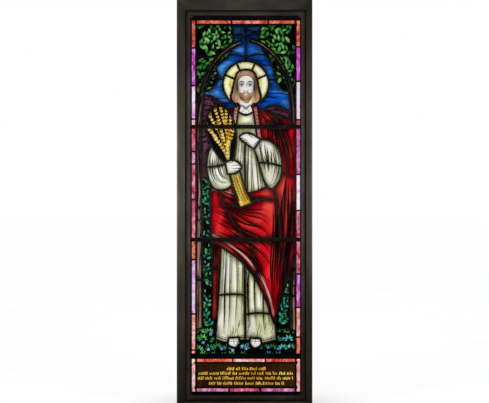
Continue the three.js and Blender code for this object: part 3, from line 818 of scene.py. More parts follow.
def opaque_material(name, colours, rough, scale, bumps, specular, stretch=(1, 1, 1)):
    material, tree, shader = new_material(name)
    places = np.linspace(0.35, 0.68, len(colours)).tolist()
    stops = [(place, linear(*colour)) for place, colour in zip(places, colours)]
    pattern = noise(tree, scale, stretch, detail=8.0, rough=0.6)
    fill(tree, shader, {
        "Base Color": ramp(tree, pattern, stops),
        "Roughness": grey_ramp(tree, noise(tree, scale * 3), (0.3, rough - 0.08), (0.7, rough + 0.1)),
        "Specular IOR Level": specular,
        "Normal": bump(tree, noise(tree, scale * 6, stretch, detail=6.0), bumps),
    })
    return material


PAINT_BLACK = opaque_material(
    "fired_black_paint", [(2, 2, 2), (5, 4, 4), (9, 8, 7)], 0.7, 90.0, 0.05, 0.0)
LEAD_METAL = opaque_material(
    "blackened_lead", [(7, 7, 8), (14, 14, 14), (26, 26, 25)], 0.6, 40.0, 0.3, 0.02)
BAR_PAINT = opaque_material(
    "black_bar_paint", [(3, 3, 3), (8, 8, 7), (15, 14, 13)], 0.7, 30.0, 0.2, 0.02)
FRAME_PAINT = opaque_material(
    "frame_paint", [(44, 41, 35), (56, 52, 45), (70, 65, 57)], 0.75, 6.0, 0.2, 0.06, (1, 1, 0.4))
INNER_PAINT = opaque_material(
    "inner_frame_paint", [(37, 33, 31), (48, 44, 41), (61, 57, 54)], 0.65, 9.0, 0.15, 0.07, (1, 1, 0.5))


# ---- painted sky, hills and foliage -------------------------------------------------------------
def paint_sky():
    """Level brushed clouds, dark above and clearing towards the halo."""
    count = 50
    for i in range(count):
        z = 1925 - 470 * (i / count) ** 0.8 + rng.uniform(-5, 5)
        x = rng.uniform(-240, 150)
        length = rng.uniform(60, 190)
        rise = rng.uniform(-8, 8)
        line = [(x, z), (x + length / 3, z + rise * 0.2 + 3), (x + length * 0.7, z + rise * 0.7 - 3),
                (x + length, z + rise)]
        high = z > 1800
        width = rng.uniform(2.5, 6.5) * (1.2 if high else 0.8)
        brush("sky", line, width, tone=BLACK if i % 3 else DEEP)
        if high or i % 2:
            soften("sky", path(line, 8), 8, 8, 0.7 if high else 0.4)
    for z, depth in ((1925, 0.85), (1890, 0.7), (1850, 0.45)):
        soften("sky", path([(-150, z), (0, z + 3), (150, z)], 8), 28, 28, depth)


def paint_hill():
    for i in range(9):
        drop = 14 + i * 26
        ridge = [(-250, 1530), (-190, 1558), (-112, 1512), (0, 1440), (110, 1500), (176, 1504), (250, 1458)]
        line = np.array(ridge, float) - (0, drop)
        start = rng.uniform(0, 0.1)
        points = trimmed(line, start, 1 - rng.uniform(0, 0.1))
        points = points + rng.uniform(-2, 2, points.shape)
        paint("hill", band(points, rng.uniform(1.5, 4.5)), DEEP if i % 2 else BLACK)
    for x, z in scattered("hill", 26, 0.7):
        paint("hill", leaf(x, z, rng.uniform(10, 20), rng.uniform(5, 9), 90 + rng.uniform(-40, 40)), DEEP)


def scattered(area, spacing, jitter):
    """Places spread over the visible part of an area."""
    low, high = AREAS[area].min(0), AREAS[area].max(0)
    over, up = np.meshgrid(np.arange(low[0], high[0], spacing), np.arange(low[1], high[1], spacing * 0.9))
    places = np.stack([over.ravel(), up.ravel()], 1)
    places[:, 0] += (np.arange(len(places)) // over.shape[1] % 2) * spacing / 2
    places += rng.uniform(-jitter, jitter, places.shape) * spacing
    places = places[topmost(places) == ORDER.index(area)]
    rng.random(len(places))  # unused, drawn so that the draws after it stay what they are
    return places.tolist()


def spray(area, x, z, degrees, length, size, glasses, taken):
    """A twig with paired leaves, scratched out of the black ground. Leaves keep clear of those taken."""
    line = [np.array((x, z), float)]
    steps = max(3, int(length / (size * 0.62)))
    turning = rng.uniform(-34, 34) / steps
    heading = degrees
    for _ in range(steps):
        heading += turning
        line.append(line[-1] + length / steps * direction(heading))
    brush(area, line, 1.5, "end", 8, WASH, glasses[0])
    heading = degrees
    for i, point in enumerate(line):
        heading += turning
        for turn in (-52, 50) if i < steps else (0,):
            flow = heading + turn + rng.uniform(-12, 12)
            long = size * rng.uniform(0.8, 1.15) * (1.1 - 0.35 * i / steps)
            way = direction(flow)
            middle = point + way * long * 0.55
            if any(np.linalg.norm(middle - other) < size * 0.52 for other in taken):
                continue
            taken.append(middle)
            glass = glasses[rng.integers(len(glasses))]
            paint(area, leaf(*(point + way * 2), long, long * 0.42, flow), CLEAR, glass)
            brush(area, [point, point + way * long * 0.75], 1.2, "end", 12)
            vein = [point, point + way * long * 0.2, point + way * long * 0.35]
            soften(area, vein, long * 0.3, long * 0.3, 0.6)


def paint_foliage(area, spacing, length, size, heading, glasses):
    paint(area, AREAS[area])
    taken = []
    for x, z in scattered(area, spacing, 0.3):
        way = heading(x, z) + rng.uniform(-40, 40)
        spray(area, x, z, way, length * rng.uniform(0.8, 1.2), size, glasses, taken)


def paint_bark(area):
    """Grain along a tree's limb, light on one side and dark on the other."""
    centre, start_width, end_width = LIMBS[area]
    line = path(centre)
    half = tapering(line, start_width, end_width)
    paint(area, band(line + across(line) * half[:, None] * 0.62, half * 0.42), DEEP)
    for share in (-0.72, -0.45, -0.2, 0.05, 0.3, 0.5, 0.8):
        for _ in range(9):
            start = rng.uniform(0, 0.86)
            end = min(1, start + rng.uniform(0.06, 0.2))
            side = line + across(line) * half[:, None] * (share + rng.uniform(-0.08, 0.08))
            points = trimmed(side[::4], start, end)
            points = points + rng.normal(0, 0.7, points.shape)
            paint(area, band(points, 1.6 * np.sin(np.pi * np.linspace(0.02, 0.98, len(points))) + 0.2))
    for _ in range(5):
        at = int(rng.uniform(0.1, 0.7) * len(line))
        paint(area, circle(*line[at], half[at] * 0.34, 12))
        paint(area, circle(*line[at], half[at] * 0.2, 10), SHADE)


def paint_ground():
    """Fans of grass blades and small blue flowers."""
    paint("ground", AREAS["ground"])
    for x, z in reversed(scattered("ground", 46, 0.16)):
        glass = ("grass", "teal", "grass")[rng.integers(3)]
        for degrees in (4, 176, 38, 142, 72, 108):
            lean = degrees + rng.uniform(-6, 6)
            way = direction(lean)
            long = rng.uniform(19, 25) * (0.75 + 0.25 * way[1])
            foot = np.array((x, z - 8)) + way * 7
            paint("ground", leaf(*(foot - way * 2), long + 6, 13.5, lean))
            paint("ground", leaf(*foot, long, 7.4, lean), CLEAR, glass)
    for x, z in ((-176, 372), (-214, 330), (-120, 300), (-20, 312), (0, 300), (12, 322), (110, 306),
                 (186, 350), (216, 312), (-66, 292), (160, 300), (-188, 296)):
        paint("ground", circle(x, z, 11, 14))
        for k in range(5):
            paint("ground", leaf(x, z, 10, 6.5, 20 + 72 * k), CLEAR, "flower_blue")
        paint("ground", circle(x, z, 2.0, 8), CLEAR, "gold")


# ---- painted cloth ------------------------------------------------------------------------------
def paint_robe():
    left = [(-50, 1500), (-78, 1300), (-118, 900), (-132, 620), (-148, 350)]
    right = [(50, 1500), (78, 1300), (112, 1060), (130, 700), (150, 350)]
    folds("robe", left, right, 11, 5.0, shade=7, wander=4)
    folds("robe", left, right, 12, 2.6, shade=3, spread=2.2, wander=5)
    folds("robe", [(-112, 780), (-126, 560), (-136, 372)], [(118, 780), (126, 560), (138, 372)], 8, 6.5,
          shade=10, spread=0.5)
    for _ in range(16):
        x, z = rng.uniform(-130, 130), rng.uniform(360, 420)
        brush("robe", [(x, z + 30), (x + 4, z + 8), (x - 6, z - 22)], 3.4, tone=DEEP)
    hem = trimmed([(-150, 362), (-84, 342), (-4, 356), (70, 340), (152, 358)], 0, 1)
    paint("robe", band(hem, 2.2))
    paint("robe", band(hem + (0, 9), 1.2))
    beads = 24
    for i in range(beads):
        x, z = hem[int(i / beads * len(hem))]
        paint("robe", circle(x, z + 4.6, 1.9, 8), DEEP)


def paint_lapels():
    """Each has a line along both edges and a row of stars."""
    for area in ("lapel_left", "lapel_right"):
        centre = LIMBS[area][0]
        line = path(centre)
        for offset in (-9.5, 9.5):
            paint(area, band(line + across(line) * offset, 1.1))
        for t in np.arange(0.05, 1, 0.085):
            place = trimmed(centre, t, min(1, t + 0.02))[0]
            for turn in (0, 60, 120):
                paint(area, band(turned([(-4.5, 0), (4.5, 0)], turn) + place, 0.8))


def paint_mantle():
    folds("mantle", [(-44, 1504), (-110, 1450), (-134, 1150), (-140, 850), (-130, 480)],
          [(-100, 1486), (-150, 1400), (-170, 1180), (-172, 880), (-170, 470)], 7, 6.0, shade=11)
    folds("mantle", [(50, 1504), (104, 1400), (118, 1240), (130, 1180)],
          [(110, 1486), (190, 1420), (240, 1300), (250, 1180)], 11, 6.4, shade=11, wander=4)
    folds("mantle", [(-150, 860), (-130, 700), (-120, 560), (-110, 476)],
          [(-60, 790), (40, 700), (90, 660), (120, 560)], 7, 6.4, shade=12)
    folds("mantle", [(190, 800), (205, 760), (214, 720)],
          [(250, 880), (250, 820), (250, 740)], 3, 4.0, shade=12)


def paint_swag():
    for hem in ([(-170, 870), (-76, 818), (6, 748), (72, 660), (118, 556), (138, 460)],
                [(-170, 1096), (-90, 1080), (0, 1042), (60, 1054)]):
        brush("swag", hem, 17, "none")
        brush("swag", hem, 12, "none", tone=CLEAR, glass="salmon")
    upper = [(-178, 1122), (-90, 1108), (0, 1072), (90, 1080), (150, 1060)]
    lower = [(-174, 848), (-84, 792), (-4, 726), (56, 640), (112, 520)]
    folds("swag", upper, lower, 17, 8.6, shade=13, wander=7)
    folds("swag", upper, lower, 10, 3.4, shade=7, spread=2.2, wander=10)
    folds("swag", [(120, 1090), (128, 900), (124, 700), (132, 480)],
          [(248, 1150), (246, 940), (214, 700), (168, 520)], 12, 8.4, shade=11, spread=0.7, wander=5)
    folds("swag", [(188, 1170), (176, 1040), (160, 930)],
          [(250, 1160), (250, 1010), (238, 850)], 5, 8.0, shade=15, spread=0.6, wander=4)


def paint_sleeves():
    outer = [(-158, 1314), (-186, 1252), (-184, 1164), (-146, 1106), (-92, 1104)]
    inner = [(-130, 1288), (-106, 1246), (-94, 1206), (-84, 1184), (-66, 1176)]
    folds("sleeve_left", outer, inner, 7, 5.6, shade=6, wander=2)
    folds("sleeve_left", outer, inner, 6, 3.0, shade=3, spread=2.2, wander=3)
    outer = [(126, 1330), (168, 1276), (172, 1184), (140, 1110), (110, 1118)]
    inner = [(72, 1338), (62, 1298), (74, 1240), (88, 1190), (98, 1146)]
    folds("sleeve_right", outer, inner, 8, 5.6, shade=6, wander=2)
    folds("sleeve_right", outer, inner, 6, 3.0, shade=3, spread=2.2, wander=3)
    for points in ([(66, 1338), (56, 1316), (50, 1300)], [(76, 1338), (66, 1316), (60, 1296)]):
        brush("sleeve_right", points, 2.2, "none")


# ---- painted wheat, hands and feet --------------------------------------------------------------
def paint_wheat():
    """Stalks that fan out of the hand, each with an ear of paired grains and four awns."""
    paint("ears", AREAS["ears"])
    foot = np.array((-84.0, 1222.0))
    tips = [(-190, 1404), (-174, 1452), (-150, 1484), (-124, 1496), (-98, 1482), (-76, 1450), (-58, 1414),
            (-164, 1372), (-134, 1414), (-104, 1420), (-80, 1384), (-146, 1340), (-114, 1350), (-88, 1322)]
    for tip in tips:
        bend = foot + (np.array(tip) - foot) * 0.5 + (np.sign(tip[0] + 100) * -6, 8)
        stalk = [foot, bend, tip]
        brush("ears", stalk, 2.0, "none", tone=WASH)
        line = trimmed(stalk, 0.0, 1.0)
        reach = np.linalg.norm(line[-1] - line, axis=1)
        for distance in np.arange(4, 66, 8.5):
            i = int(np.argmin(np.abs(reach - distance)))
            along = line[min(i + 1, len(line) - 1)] - line[i - 1]
            flow = math.degrees(math.atan2(along[1], along[0]))
            for turn in (-32, 32):
                paint("ears", leaf(*line[i], 14, 6.6, flow + turn), CLEAR)
        paint("ears", leaf(*line[-2], 15, 7, flow), CLEAR)
        for turn in (-24, -9, 7, 22):
            paint("ears", band(turned([(8, 0), (30, 0)], flow + turn) + line[-1], 0.5), CLEAR)
    folds("stems", [(-90, 1212), (-66, 1110), (-28, 1010)], [(-38, 1206), (-8, 1120), (32, 1026)], 9, 2.2,
          shade=4, taper="none", spread=0.2, wander=0.6)


def paint_hands():
    """Gaps between the fingers run in from the fingertips, and a crease marks each thumb."""
    for points in ([(-20, 1199), (-44, 1201), (-76, 1198)], [(-34, 1187), (-54, 1188), (-78, 1184)],
                   [(-18, 1213), (-44, 1217), (-74, 1214)], [(-56, 1244), (-70, 1232), (-90, 1226)]):
        brush("hand_left", points, 5.2, "end", 4)
    for points in ([(-38, 1352), (-14, 1350), (14, 1336)], [(-30, 1342), (-8, 1340), (18, 1326)],
                   [(-16, 1331), (2, 1330), (24, 1316)], [(10, 1380), (20, 1364), (44, 1348)]):
        brush("hand_right", points, 5.2, "end", 4)
    brush("hand_right", [(40, 1302), (46, 1322), (64, 1342)], 5, "both", 4, SHADE)
    brush("hand_left", [(-98, 1226), (-100, 1204), (-94, 1178)], 5, "both", 4, SHADE)


def paint_feet():
    """Gaps between the toes, and the straps of sandals."""
    for area, sx, x in (("foot_left", -1, -62), ("foot_right", 1, 48)):
        for k in range(4):
            toe = x + sx * 16 - sx * k * 9
            brush(area, [(toe, 308), (toe - sx, 318), (toe - 2 * sx, 326)], 1.5, "end", 4)
        for z in (334, 344):
            brush(area, [(x - 34, z - 3), (x, z + 3), (x + 34, z - 3)], 2.2, "none", 6)
        brush(area, [(x, 346), (x - sx, 334), (x - 4 * sx, 322)], 2.2, "none", 6)
        brush(area, [(x - sx * 24, 350), (x - sx * 22, 330), (x - sx * 14, 312)], 5, "both", 6, SHADE)


# ---- painted halo and head ----------------------------------------------------------------------
def paint_halo():
    """White glass, stained yellow towards its edges, with stippled rays."""
    x, z = HALO
    rings = ((HALO_OUTER, "silver_stain"), (HALO_OUTER - 9, "pale_stain"), (HALO_OUTER - 16, "halo"),
             (HALO_INNER + 12, "pale_stain"), (HALO_INNER + 4, "silver_stain"))
    for radius, glass in rings:
        paint("halo", circle(x, z, radius), CLEAR, glass)
    rays = 72
    for k in range(rays):
        angle = 2 * math.pi * (k + rng.uniform(-0.3, 0.3)) / rays
        outer, inner = HALO_OUTER - rng.uniform(3, 6), HALO_INNER - 6
        spans = ((outer, outer - rng.uniform(6, 14), 2.0), (inner, inner + rng.uniform(8, 15), 1.8))
        for start, end, width in spans:
            line = [(x + r * math.cos(angle), z + r * math.sin(angle)) for r in (start, end)]
            brush("halo", line, width, "end", 12, SHADE if k % 3 else BLACK)


# Brow, upper and lower eyelid, nostril, and the side of the nose last: (points, width, taper).
FACE_LINES = [
    ([(6, 1627), (20, 1635), (36, 1628)], 4.6, "both"),
    ([(7, 1613), (13, 1619), (20.5, 1621.5), (28, 1619), (34, 1613.5)], 3.6, "both"),
    ([(10, 1612), (16, 1608.6), (22, 1608), (29, 1611.5)], 1.8, "both"),
    ([(1.5, 1588), (5, 1585.5), (9.5, 1588), (10, 1595)], 3.0, "both"),
    ([(6, 1626), (4.6, 1614), (5.4, 1600)], 2.6, "end"),
]


def mirrored(points):
    """An outline from its right-hand half, which runs down from the middle line."""
    return points + [(-point[0], *point[1:]) for point in reversed(points) if point[0]]


def paint_hair():
    paint("head", AREAS["head"])
    hair = smooth(mirrored([(0, 1690), (36, 1678), (55, 1646), (61, 1612), (62, 1584), (69, 1562), (64, 1540),
                            (50, 1526), (40, 1530), (30, 1518, 1)]), step=4)
    paint("head", hair, CLEAR, "hair_brown")
    inner = [(3, 1684), (28, 1668), (44, 1636), (45, 1600), (41, 1568), (44, 1548), (36, 1526)]
    outer = [(3, 1688), (40, 1674), (57, 1636), (60, 1596), (61, 1576), (66, 1558), (54, 1532)]
    for sx in (-1, 1):
        for share, width in ((0.0, 2.6), (0.28, 1.7), (0.5, 2.4), (0.74, 1.7), (0.95, 2.0)):
            brush("head", between(inner, outer, share) * (sx, 1), width, "both", 5)


def paint_beard():
    beard = smooth(mirrored([(0, 1580), (9, 1582), (18, 1578), (34, 1584), (41, 1602), (42, 1580), (34, 1552),
                             (16, 1531), (0, 1525)]), step=4)
    paint("head", beard, CLEAR, "hair_brown")
    paint("head", smooth(mirrored([(0, 1577), (11, 1574), (0, 1566)]), step=3), CLEAR)
    inner = [(3, 1563), (4, 1548), (2, 1531)]
    outer = [(38, 1590), (35, 1566), (16, 1537)]
    for sx in (-1, 1):
        for share in np.linspace(0, 1, 7):
            brush("head", between(inner, outer, share) * (sx, 1), 2.1, "both", 4)
        brush("head", [(sx * 1.5, 1583), (sx * 10, 1580), (sx * 20, 1571)], 3.2, "both", 4)
    brush("head", [(-11, 1573), (-5, 1572), (0, 1573.6), (5, 1572), (11, 1573)], 2.8, "both", 2.5)


def paint_head():
    paint_hair()
    neck = smooth(mirrored([(0, 1560), (27, 1556, 1), (28, 1512, 1), (40, 1484, 1), (0, 1464)]))
    paint("head", neck, CLEAR)
    brush("head", [(-28, 1522), (-12, 1510), (0, 1500), (12, 1510), (28, 1522)], 13, "both", 5, SHADE)
    outline = [(0, 1666), (24, 1659), (38, 1640), (42.5, 1612), (40, 1586), (30, 1558), (0, 1544)]
    face = smooth(mirrored(outline), step=3)
    paint("head", face, CLEAR)
    paint_beard()
    for sx in (-1, 1):
        brush("head", [(sx * 6, 1500), (sx * 14, 1486), (sx * 24, 1480)], 2.0, "both", 5)
        brush("head", [(sx * 33, 1622), (sx * 38, 1606), (sx * 36, 1590)], 5, "both", 4, WASH)
        for points, width, taper in FACE_LINES[:-1] if sx < 0 else FACE_LINES:
            brush("head", [(sx * x, z) for x, z in points], width, taper, 2.5)
        for radius, sides, tone in ((4.6, 12, SHADE), (3.2, 10, BLACK)):
            paint("head", circle(sx * 20.5, 1614.6, radius, sides), tone)
        soften("head", path([(sx * 6, 1622), (sx * 20, 1626), (sx * 35, 1620)], 3), 8, 8, 0.5)
        soften("head", path([(sx * 40, 1648), (sx * 42, 1612), (sx * 32, 1580)], 3), 9, 9, 0.7)
    rim = np.concatenate([face, face[:1]])
    for run in runs(rim, lambda points: points[:, 1] > 1588):
        paint("head", band(run, 1.6))
    brush("head", [(0, 1688), (1, 1678), (0, 1666)], 1.8, "both", 4)


def paint_picture():
    paint_sky()
    paint_hill()
    paint_foliage("hedge", 42, 50, 25, lambda x, z: 90 if x < 0 else 80, ("teal", "teal", "grass"))
    for area, outwards, lean in (("crown_left", 10, 5), ("crown_right", 170, -5)):
        paint_foliage(area, 44, 66, 30, lambda x, z: outwards + (z - 1700) / lean, ("green", "leaf", "green"))
    paint_bark("limb_left")
    paint_bark("limb_right")
    paint_ground()
    paint_halo()
    paint_mantle()
    paint_robe()
    paint_lapels()
    paint_swag()
    paint_sleeves()
    paint_wheat()
    paint_hands()
    paint_feet()
    paint_head()


# ---- the leaded panels --------------------------------------------------------------------------
SIDES = (-1, 1)
# Heights of the joints in the left and in the right strip of each panel.
SIDE_JOINTS = {
    "upper": ([1803, 1614, 1447], [1808, 1636, 1444]),
    "middle": ([1285, 1222, 1045], [1170, 990]),
    "lower": ([744, 472, 292], [673, 505, 357]),
    "base": ([], []),
}
# The glasses of both strips, from the bottom to the top.
SIDE_COLOURS = {
    "upper": (["blush", "lilac", "magenta", "coral"], ["rose", "pearl", "magenta", "coral"]),
    "middle": (["rose", "rose", "mauve", "rose"], ["rose", "pearl", "mauve"]),
    "lower": (["rose", "blush", "lilac", "coral"], ["coral", "blush", "magenta", "rose"]),
    "base": (["blush"], ["blush"]),
}
# The strips that lie level: (bottom and top, places of the joints, glasses from the left).
LEVEL_STRIPS = {
    "upper": [(BORDER_TOP, [-72, 112], ["coral", "coral", "coral"])],
    "base": [(BASE_BORDER, [-84, 72], ["mauve", "rose", "mauve"]),
             (BASE_MIDDLE, [-65, 97], ["coral", "blush", "coral"])],
}


def pieces_between(low, high, joints):
    ends = [low - HIDDEN] + [z for joint in joints for z in (joint - HEART, joint + HEART)] + [high + HIDDEN]
    return list(zip(ends[::2], ends[1::2]))


def border_glass(panel, z0, z1):
    """The border strips of one panel, as one object or as a left and a right one."""
    sides = {-1: [], 1: []}
    for sx, joints, colours in zip(SIDES, SIDE_JOINTS[panel], SIDE_COLOURS[panel]):
        edges = sorted((sx * (BORDER_IN - HIDDEN), sx * (BORDER_OUT + HIDDEN)))
        for (low, high), colour in zip(pieces_between(z0, z1, sorted(joints)), colours):
            sides[sx].append((rectangle(*edges, low, high), colour))
    for (low, high), joints, colours in LEVEL_STRIPS.get(panel, []):
        for (left, right), colour in zip(pieces_between(-PICTURE, PICTURE, joints), colours):
            sides[-1].append((rectangle(left, right, low - HIDDEN, high + HIDDEN), colour))
    if panel in LEVEL_STRIPS:
        groups = {f"border_{panel}": sides[-1] + sides[1]}
    else:
        groups = {f"border_left_{panel}": sides[-1], f"border_right_{panel}": sides[1]}
    for name, strips in groups.items():
        points = np.concatenate([outline for outline, _ in strips])
        corners = [(0, 1, 2), (0, 2, 3)]
        triangles = np.array([np.add(face, 4 * i) for i in range(len(strips)) for face in corners])
        glasses = [colour for _, colour in strips for _ in corners]
        seat(pane_piece(f"glass_{name}", points, triangles, [CLEAR] * len(triangles), glasses), name)


def edge_leads(solid, bottom, top, sight0, sight1):
    """The wide leads round a panel."""
    w = PANEL_HALF_WIDTH
    flat_lead(solid, -w, -BORDER_OUT, bottom, top)
    flat_lead(solid, BORDER_OUT, w, bottom, top)
    flat_lead(solid, -w, w, bottom, sight0)
    flat_lead(solid, -w, w, sight1, top)


def joints_of(leads, reach=7.0):
    """Where leads meet: their ends, with those close together made one."""
    made = []
    for lead in leads:
        for point in (lead[0], lead[-1]):
            if all(np.linalg.norm(point - other) > reach for other in made):
                made.append(point)
    return made


def stretched(line, by):
    """A line with both ends carried on a little."""
    ends = []
    for end, before in ((line[0], line[1]), (line[-1], line[-2])):
        ends.append([end + (end - before) / (np.linalg.norm(end - before) + 1e-9) * by])
    return np.concatenate([ends[0], line, ends[1]])


def picture_panel(panel, z0, z1):
    """The leads and the glass of one panel of the picture, from one bar or end to the next."""
    is_top = panel == "upper"
    bottom, top = z0 + BAR_GAP, z1 if is_top else z1 - BAR_GAP
    sight0 = bottom + EDGE_LEAD
    sight1 = PICTURE_TOP if is_top else top - EDGE_LEAD
    strip_top = BORDER_TOP[1] if is_top else sight1
    border_glass(panel, sight0, strip_top)

    solid = Solid()
    edge_leads(solid, bottom, top, sight0, strip_top)
    for sx, joints in zip(SIDES, SIDE_JOINTS[panel]):
        came(solid, [(sx * SEAM, sight0 - 2), (sx * SEAM, strip_top + 2)], SEAM_FLANGE)
        for z in joints:
            came(solid, [(sx * (BORDER_IN - 3), z), (sx * (BORDER_OUT + 2), z)])
            solder(solid, sx * SEAM, z)
    if is_top:
        seam = (PICTURE_TOP + BORDER_TOP[0]) / 2
        came(solid, [(-SEAM, seam), (SEAM, seam)], SEAM_FLANGE)
        for x in LEVEL_STRIPS[panel][0][1]:
            came(solid, [(x, BORDER_TOP[0] - 3), (x, BORDER_TOP[1] + 2)])
        for sx in SIDES:
            solder(solid, sx * SEAM, seam, CORNER_SOLDER)
    leads = area_runs((-PICTURE - 1, PICTURE + 1, sight0 - 1, sight1 + 1))
    for lead in leads:
        came(solid, stretched(lead, 1.5))
    for x, z in joints_of(leads):
        solder(solid, x, z)
    seat(solid.made(f"leads_{panel}"), f"lead_{panel}")
    picture_glass(panel, leads, (-PICTURE - HIDDEN, PICTURE + HIDDEN, sight0 - HIDDEN, sight1 + HIDDEN))


def picture_glass(panel, leads, room):
    """The panes between the leads inside the room (x0, x1, z0, z1), painted and sorted into pieces."""
    sheet = rectangle(*room)
    hearts = [band(stretched(lead, 2.0), HEART) for lead in leads]
    edges = [band(lead, PAINTED_EDGE + rng.uniform(-0.4, 1.2, len(lead))) for lead in leads]

    def reaches(outline):
        return (outline.min(0) < sheet.max(0)).all() and (outline.max(0) > sheet.min(0)).all()

    marks = [mark for mark in PAINT if reaches(mark[1])]
    outlines = [sheet] + [AREAS[name] for name in ORDER if reaches(AREAS[name])]
    outlines += [mark[1] for mark in marks if mark[1] is not AREAS[ORDER[mark[0]]]] + edges + hearts
    rows = np.meshgrid(np.arange(room[0], room[1], GRID), np.arange(room[2], room[3], GRID))
    grid = np.stack(rows, 2).reshape(-1, 2)
    grid += rng.uniform(-JITTER, JITTER, grid.shape)
    grid = grid[inside(grid, sheet)]
    contours = []
    for _, line, left, right, _ in SOFT:
        if reaches(line):
            line = line[:: 2 if len(line) > 8 else 1]
            contours += [line + across(line) * offset for offset in (-right, 0.0, 0.6 * left, 1.3 * left)]
    points, triangles, middles = cut_plane(outlines, grid, contours)
    soft = soft_shading(points, leads + [smooth([(x, z, 1) for x, z in sheet])])
    kept = inside(middles, sheet)
    for heart in hearts:
        kept &= ~inside(middles, heart)
    triangles, middles = triangles[kept], middles[kept]

    area = topmost(middles)
    plain = np.array([LOOKS[ORDER[i]][1] for i in area], dtype=object)
    tones, glasses = np.ones(len(triangles)), plain.copy()
    for number, outline, tone, glass in marks:
        hit = inside(middles, outline) & (area == number)
        tones[hit] = tone
        glasses[hit] = glass if glass else plain[hit]
    for edge in edges:
        tones[inside(middles, edge)] = BLACK
    chosen = {}
    for i, (x, number) in enumerate(zip(middles[:, 0], area)):
        name = f"{LOOKS[ORDER[number]][0]}_{panel}"
        if name not in frame["nodes"]:
            name += "_left" if x < 0 else "_right"
        chosen.setdefault(name, []).append(i)
    for name, own in chosen.items():
        own_tones, own_glasses = tones[own].tolist(), glasses[own].tolist()
        seat(pane_piece(f"glass_{name}", points, triangles[own], own_tones, own_glasses, soft), name)


def inscription():
    """Rows of short slanting strokes that form no letters, to be scratched out of a dark brown ground."""
    marks = []
    for z, x, end in ((192, -92, 96), (169, -234, 236), (145, -238, 238), (119, -182, 194)):
        while x < end:
            for _ in range(rng.integers(3, 8)):
                if x > end:
                    break
                height = rng.uniform(9, 17)
                lean = rng.uniform(-2.5, 2.5)
                wide = rng.uniform(3.6, 5.2)
                marks.append(stroke([(x - lean, z), (x + lean, z + height)], wide, "none", 8))
                x += wide + rng.uniform(2.6, 4.2)
            x += rng.uniform(5, 9)
    return marks


def base_panel():
    """The leads and the glass of the panel with the inscription."""
    low, high = BASE_BORDER[0], BASE_MIDDLE[1]
    border_glass("base", low, high)

    solid = Solid()
    edge_leads(solid, PANEL_ENDS[0], BAR_HEIGHTS[2] - BAR_GAP, low, high)
    for sx in SIDES:
        came(solid, [(sx * SEAM, low - 2), (sx * SEAM, high + 2)], SEAM_FLANGE)
    for z in ((BASE_BORDER[1] + INSCRIPTION[0]) / 2, (INSCRIPTION[1] + BASE_MIDDLE[0]) / 2):
        came(solid, [(-SEAM, z), (SEAM, z)], SEAM_FLANGE)
        for sx in SIDES:
            solder(solid, sx * SEAM, z, CORNER_SOLDER)
    for (z0, z1), joints, _ in LEVEL_STRIPS["base"]:
        for x in joints:
            came(solid, [(x, z0 - 2), (x, z1 + 2)])
            solder(solid, x, z1 + 4 if z0 == low else z0 - 4, 0.9)
    seat(solid.made("leads_base"), "lead_base")

    sheet = rectangle(-PICTURE - HIDDEN, PICTURE + HIDDEN, INSCRIPTION[0] - HIDDEN, INSCRIPTION[1] + HIDDEN)
    marks = inscription()
    points, triangles, middles = cut_plane([sheet] + marks)
    kept = inside(middles, sheet)
    triangles, middles = triangles[kept], middles[kept]
    scratched = np.any([inside(middles, mark) for mark in marks], axis=0)
    tones = np.where(scratched, CLEAR, INSCRIPTION_GROUND).tolist()
    glasses = np.where(scratched, "amber", "umber").tolist()
    seat(pane_piece("glass_inscription_pane", points, triangles, tones, glasses), "inscription_pane")


# ---- frame, bars --------------------------------------------------------------------------------
def dress_frame():
    """Gives the solids that stay as they are their materials, by the start of their names."""
    finishes = {
        "frame_": FRAME_PAINT,
        "inner_frame": INNER_PAINT,
        "glazing_bead": INNER_PAINT,
        "t_bar": BAR_PAINT,
    }
    for item in bpy.data.objects:
        for start, material in finishes.items():
            if item.name.startswith(start):
                item.data.materials.clear()
                item.data.materials.append(material)


# ---- floor, light and camera --------------------------------------------------------------------
def floor():
    bpy.ops.mesh.primitive_plane_add(size=60, location=(0, 0, 0))
    piece = bpy.context.object
    piece.name = "floor"
    material, tree, shader = new_material("pale_floor")
    pale = grey_ramp(tree, noise(tree, 3.0), (0.3, 0.88), (0.7, 0.9))
    fill(tree, shader, {"Base Color": pale, "Roughness": 0.9, "Specular IOR Level": 0.0})
    piece.data.materials.append(material)


# The surround is white where it is seen, also through the glass, and dim as a light.
AMBIENT = 0.12
SUN_STRENGTH = 3.1
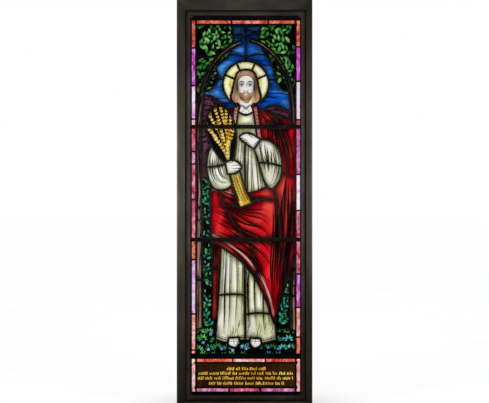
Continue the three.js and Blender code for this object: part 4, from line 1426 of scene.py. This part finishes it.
# Two softboxes in front of the window light its frame, leads and bars: size in metres, power in watts,
# spread in degrees; the place of the right-hand one, and how far it turns inwards.
BOX_SIZE, BOX_POWER, BOX_SPREAD = (0.5, 0.35), 6.2, 84
BOX_PLACE, BOX_TURN = (0.9, -0.65, 1.15), 48
CAMERA_AT = (0.35, -3.5, 1.035)
SENSOR = 36.0
SPAN = 2.445  # width that the picture shows at the plane of the glass
CENTRE_SHIFT = 0.007  # moves the window a little across the picture


def lights():
    world = bpy.data.worlds.new("studio")
    bpy.context.scene.world = world
    world.use_nodes = True
    tree = world.node_tree
    ray = node(tree, "ShaderNodeLightPath").outputs
    seen = combined(tree, "MAXIMUM", ray["Is Camera Ray"], ray["Is Transmission Ray"])
    level = node(tree, "ShaderNodeMapRange", **{"Value": seen, "To Min": AMBIENT, "To Max": 1.0})
    fill(tree, tree.nodes["Background"], {"Color": (1, 1, 1, 1), "Strength": level.outputs["Result"]})

    sun = bpy.data.lights.new("overhead", "SUN")
    sun.energy = SUN_STRENGTH
    sun.angle = math.radians(20)
    added("overhead", sun)

    for sx in SIDES:
        box = bpy.data.lights.new("softbox", "AREA")
        box.shape = "RECTANGLE"
        box.size, box.size_y = BOX_SIZE
        box.energy = BOX_POWER
        box.spread = math.radians(BOX_SPREAD)
        item = added("softbox", box)
        item.location = (sx * BOX_PLACE[0], *BOX_PLACE[1:])
        item.rotation_euler = (math.radians(90), 0, sx * math.radians(BOX_TURN))
        item.visible_camera = item.visible_transmission = False


def camera():
    lens = bpy.data.cameras.new("camera")
    lens.sensor_fit = "HORIZONTAL"
    lens.sensor_width = SENSOR
    lens.lens = SENSOR * -CAMERA_AT[1] / SPAN
    lens.shift_x = -(CAMERA_AT[0] + CENTRE_SHIFT) / SPAN
    lens.clip_start, lens.clip_end = 0.05, 200
    item = added("camera", lens)
    item.location = CAMERA_AT
    item.rotation_euler = (math.pi / 2, 0, 0)
    bpy.context.scene.camera = item
    bpy.context.scene.view_settings.view_transform = "Standard"


paint_picture()
picture_panel("upper", BAR_HEIGHTS[0], PANEL_ENDS[1])
picture_panel("middle", BAR_HEIGHTS[1], BAR_HEIGHTS[0])
picture_panel("lower", BAR_HEIGHTS[2], BAR_HEIGHTS[1])
base_panel()
dress_frame()
floor()
lights()
camera()
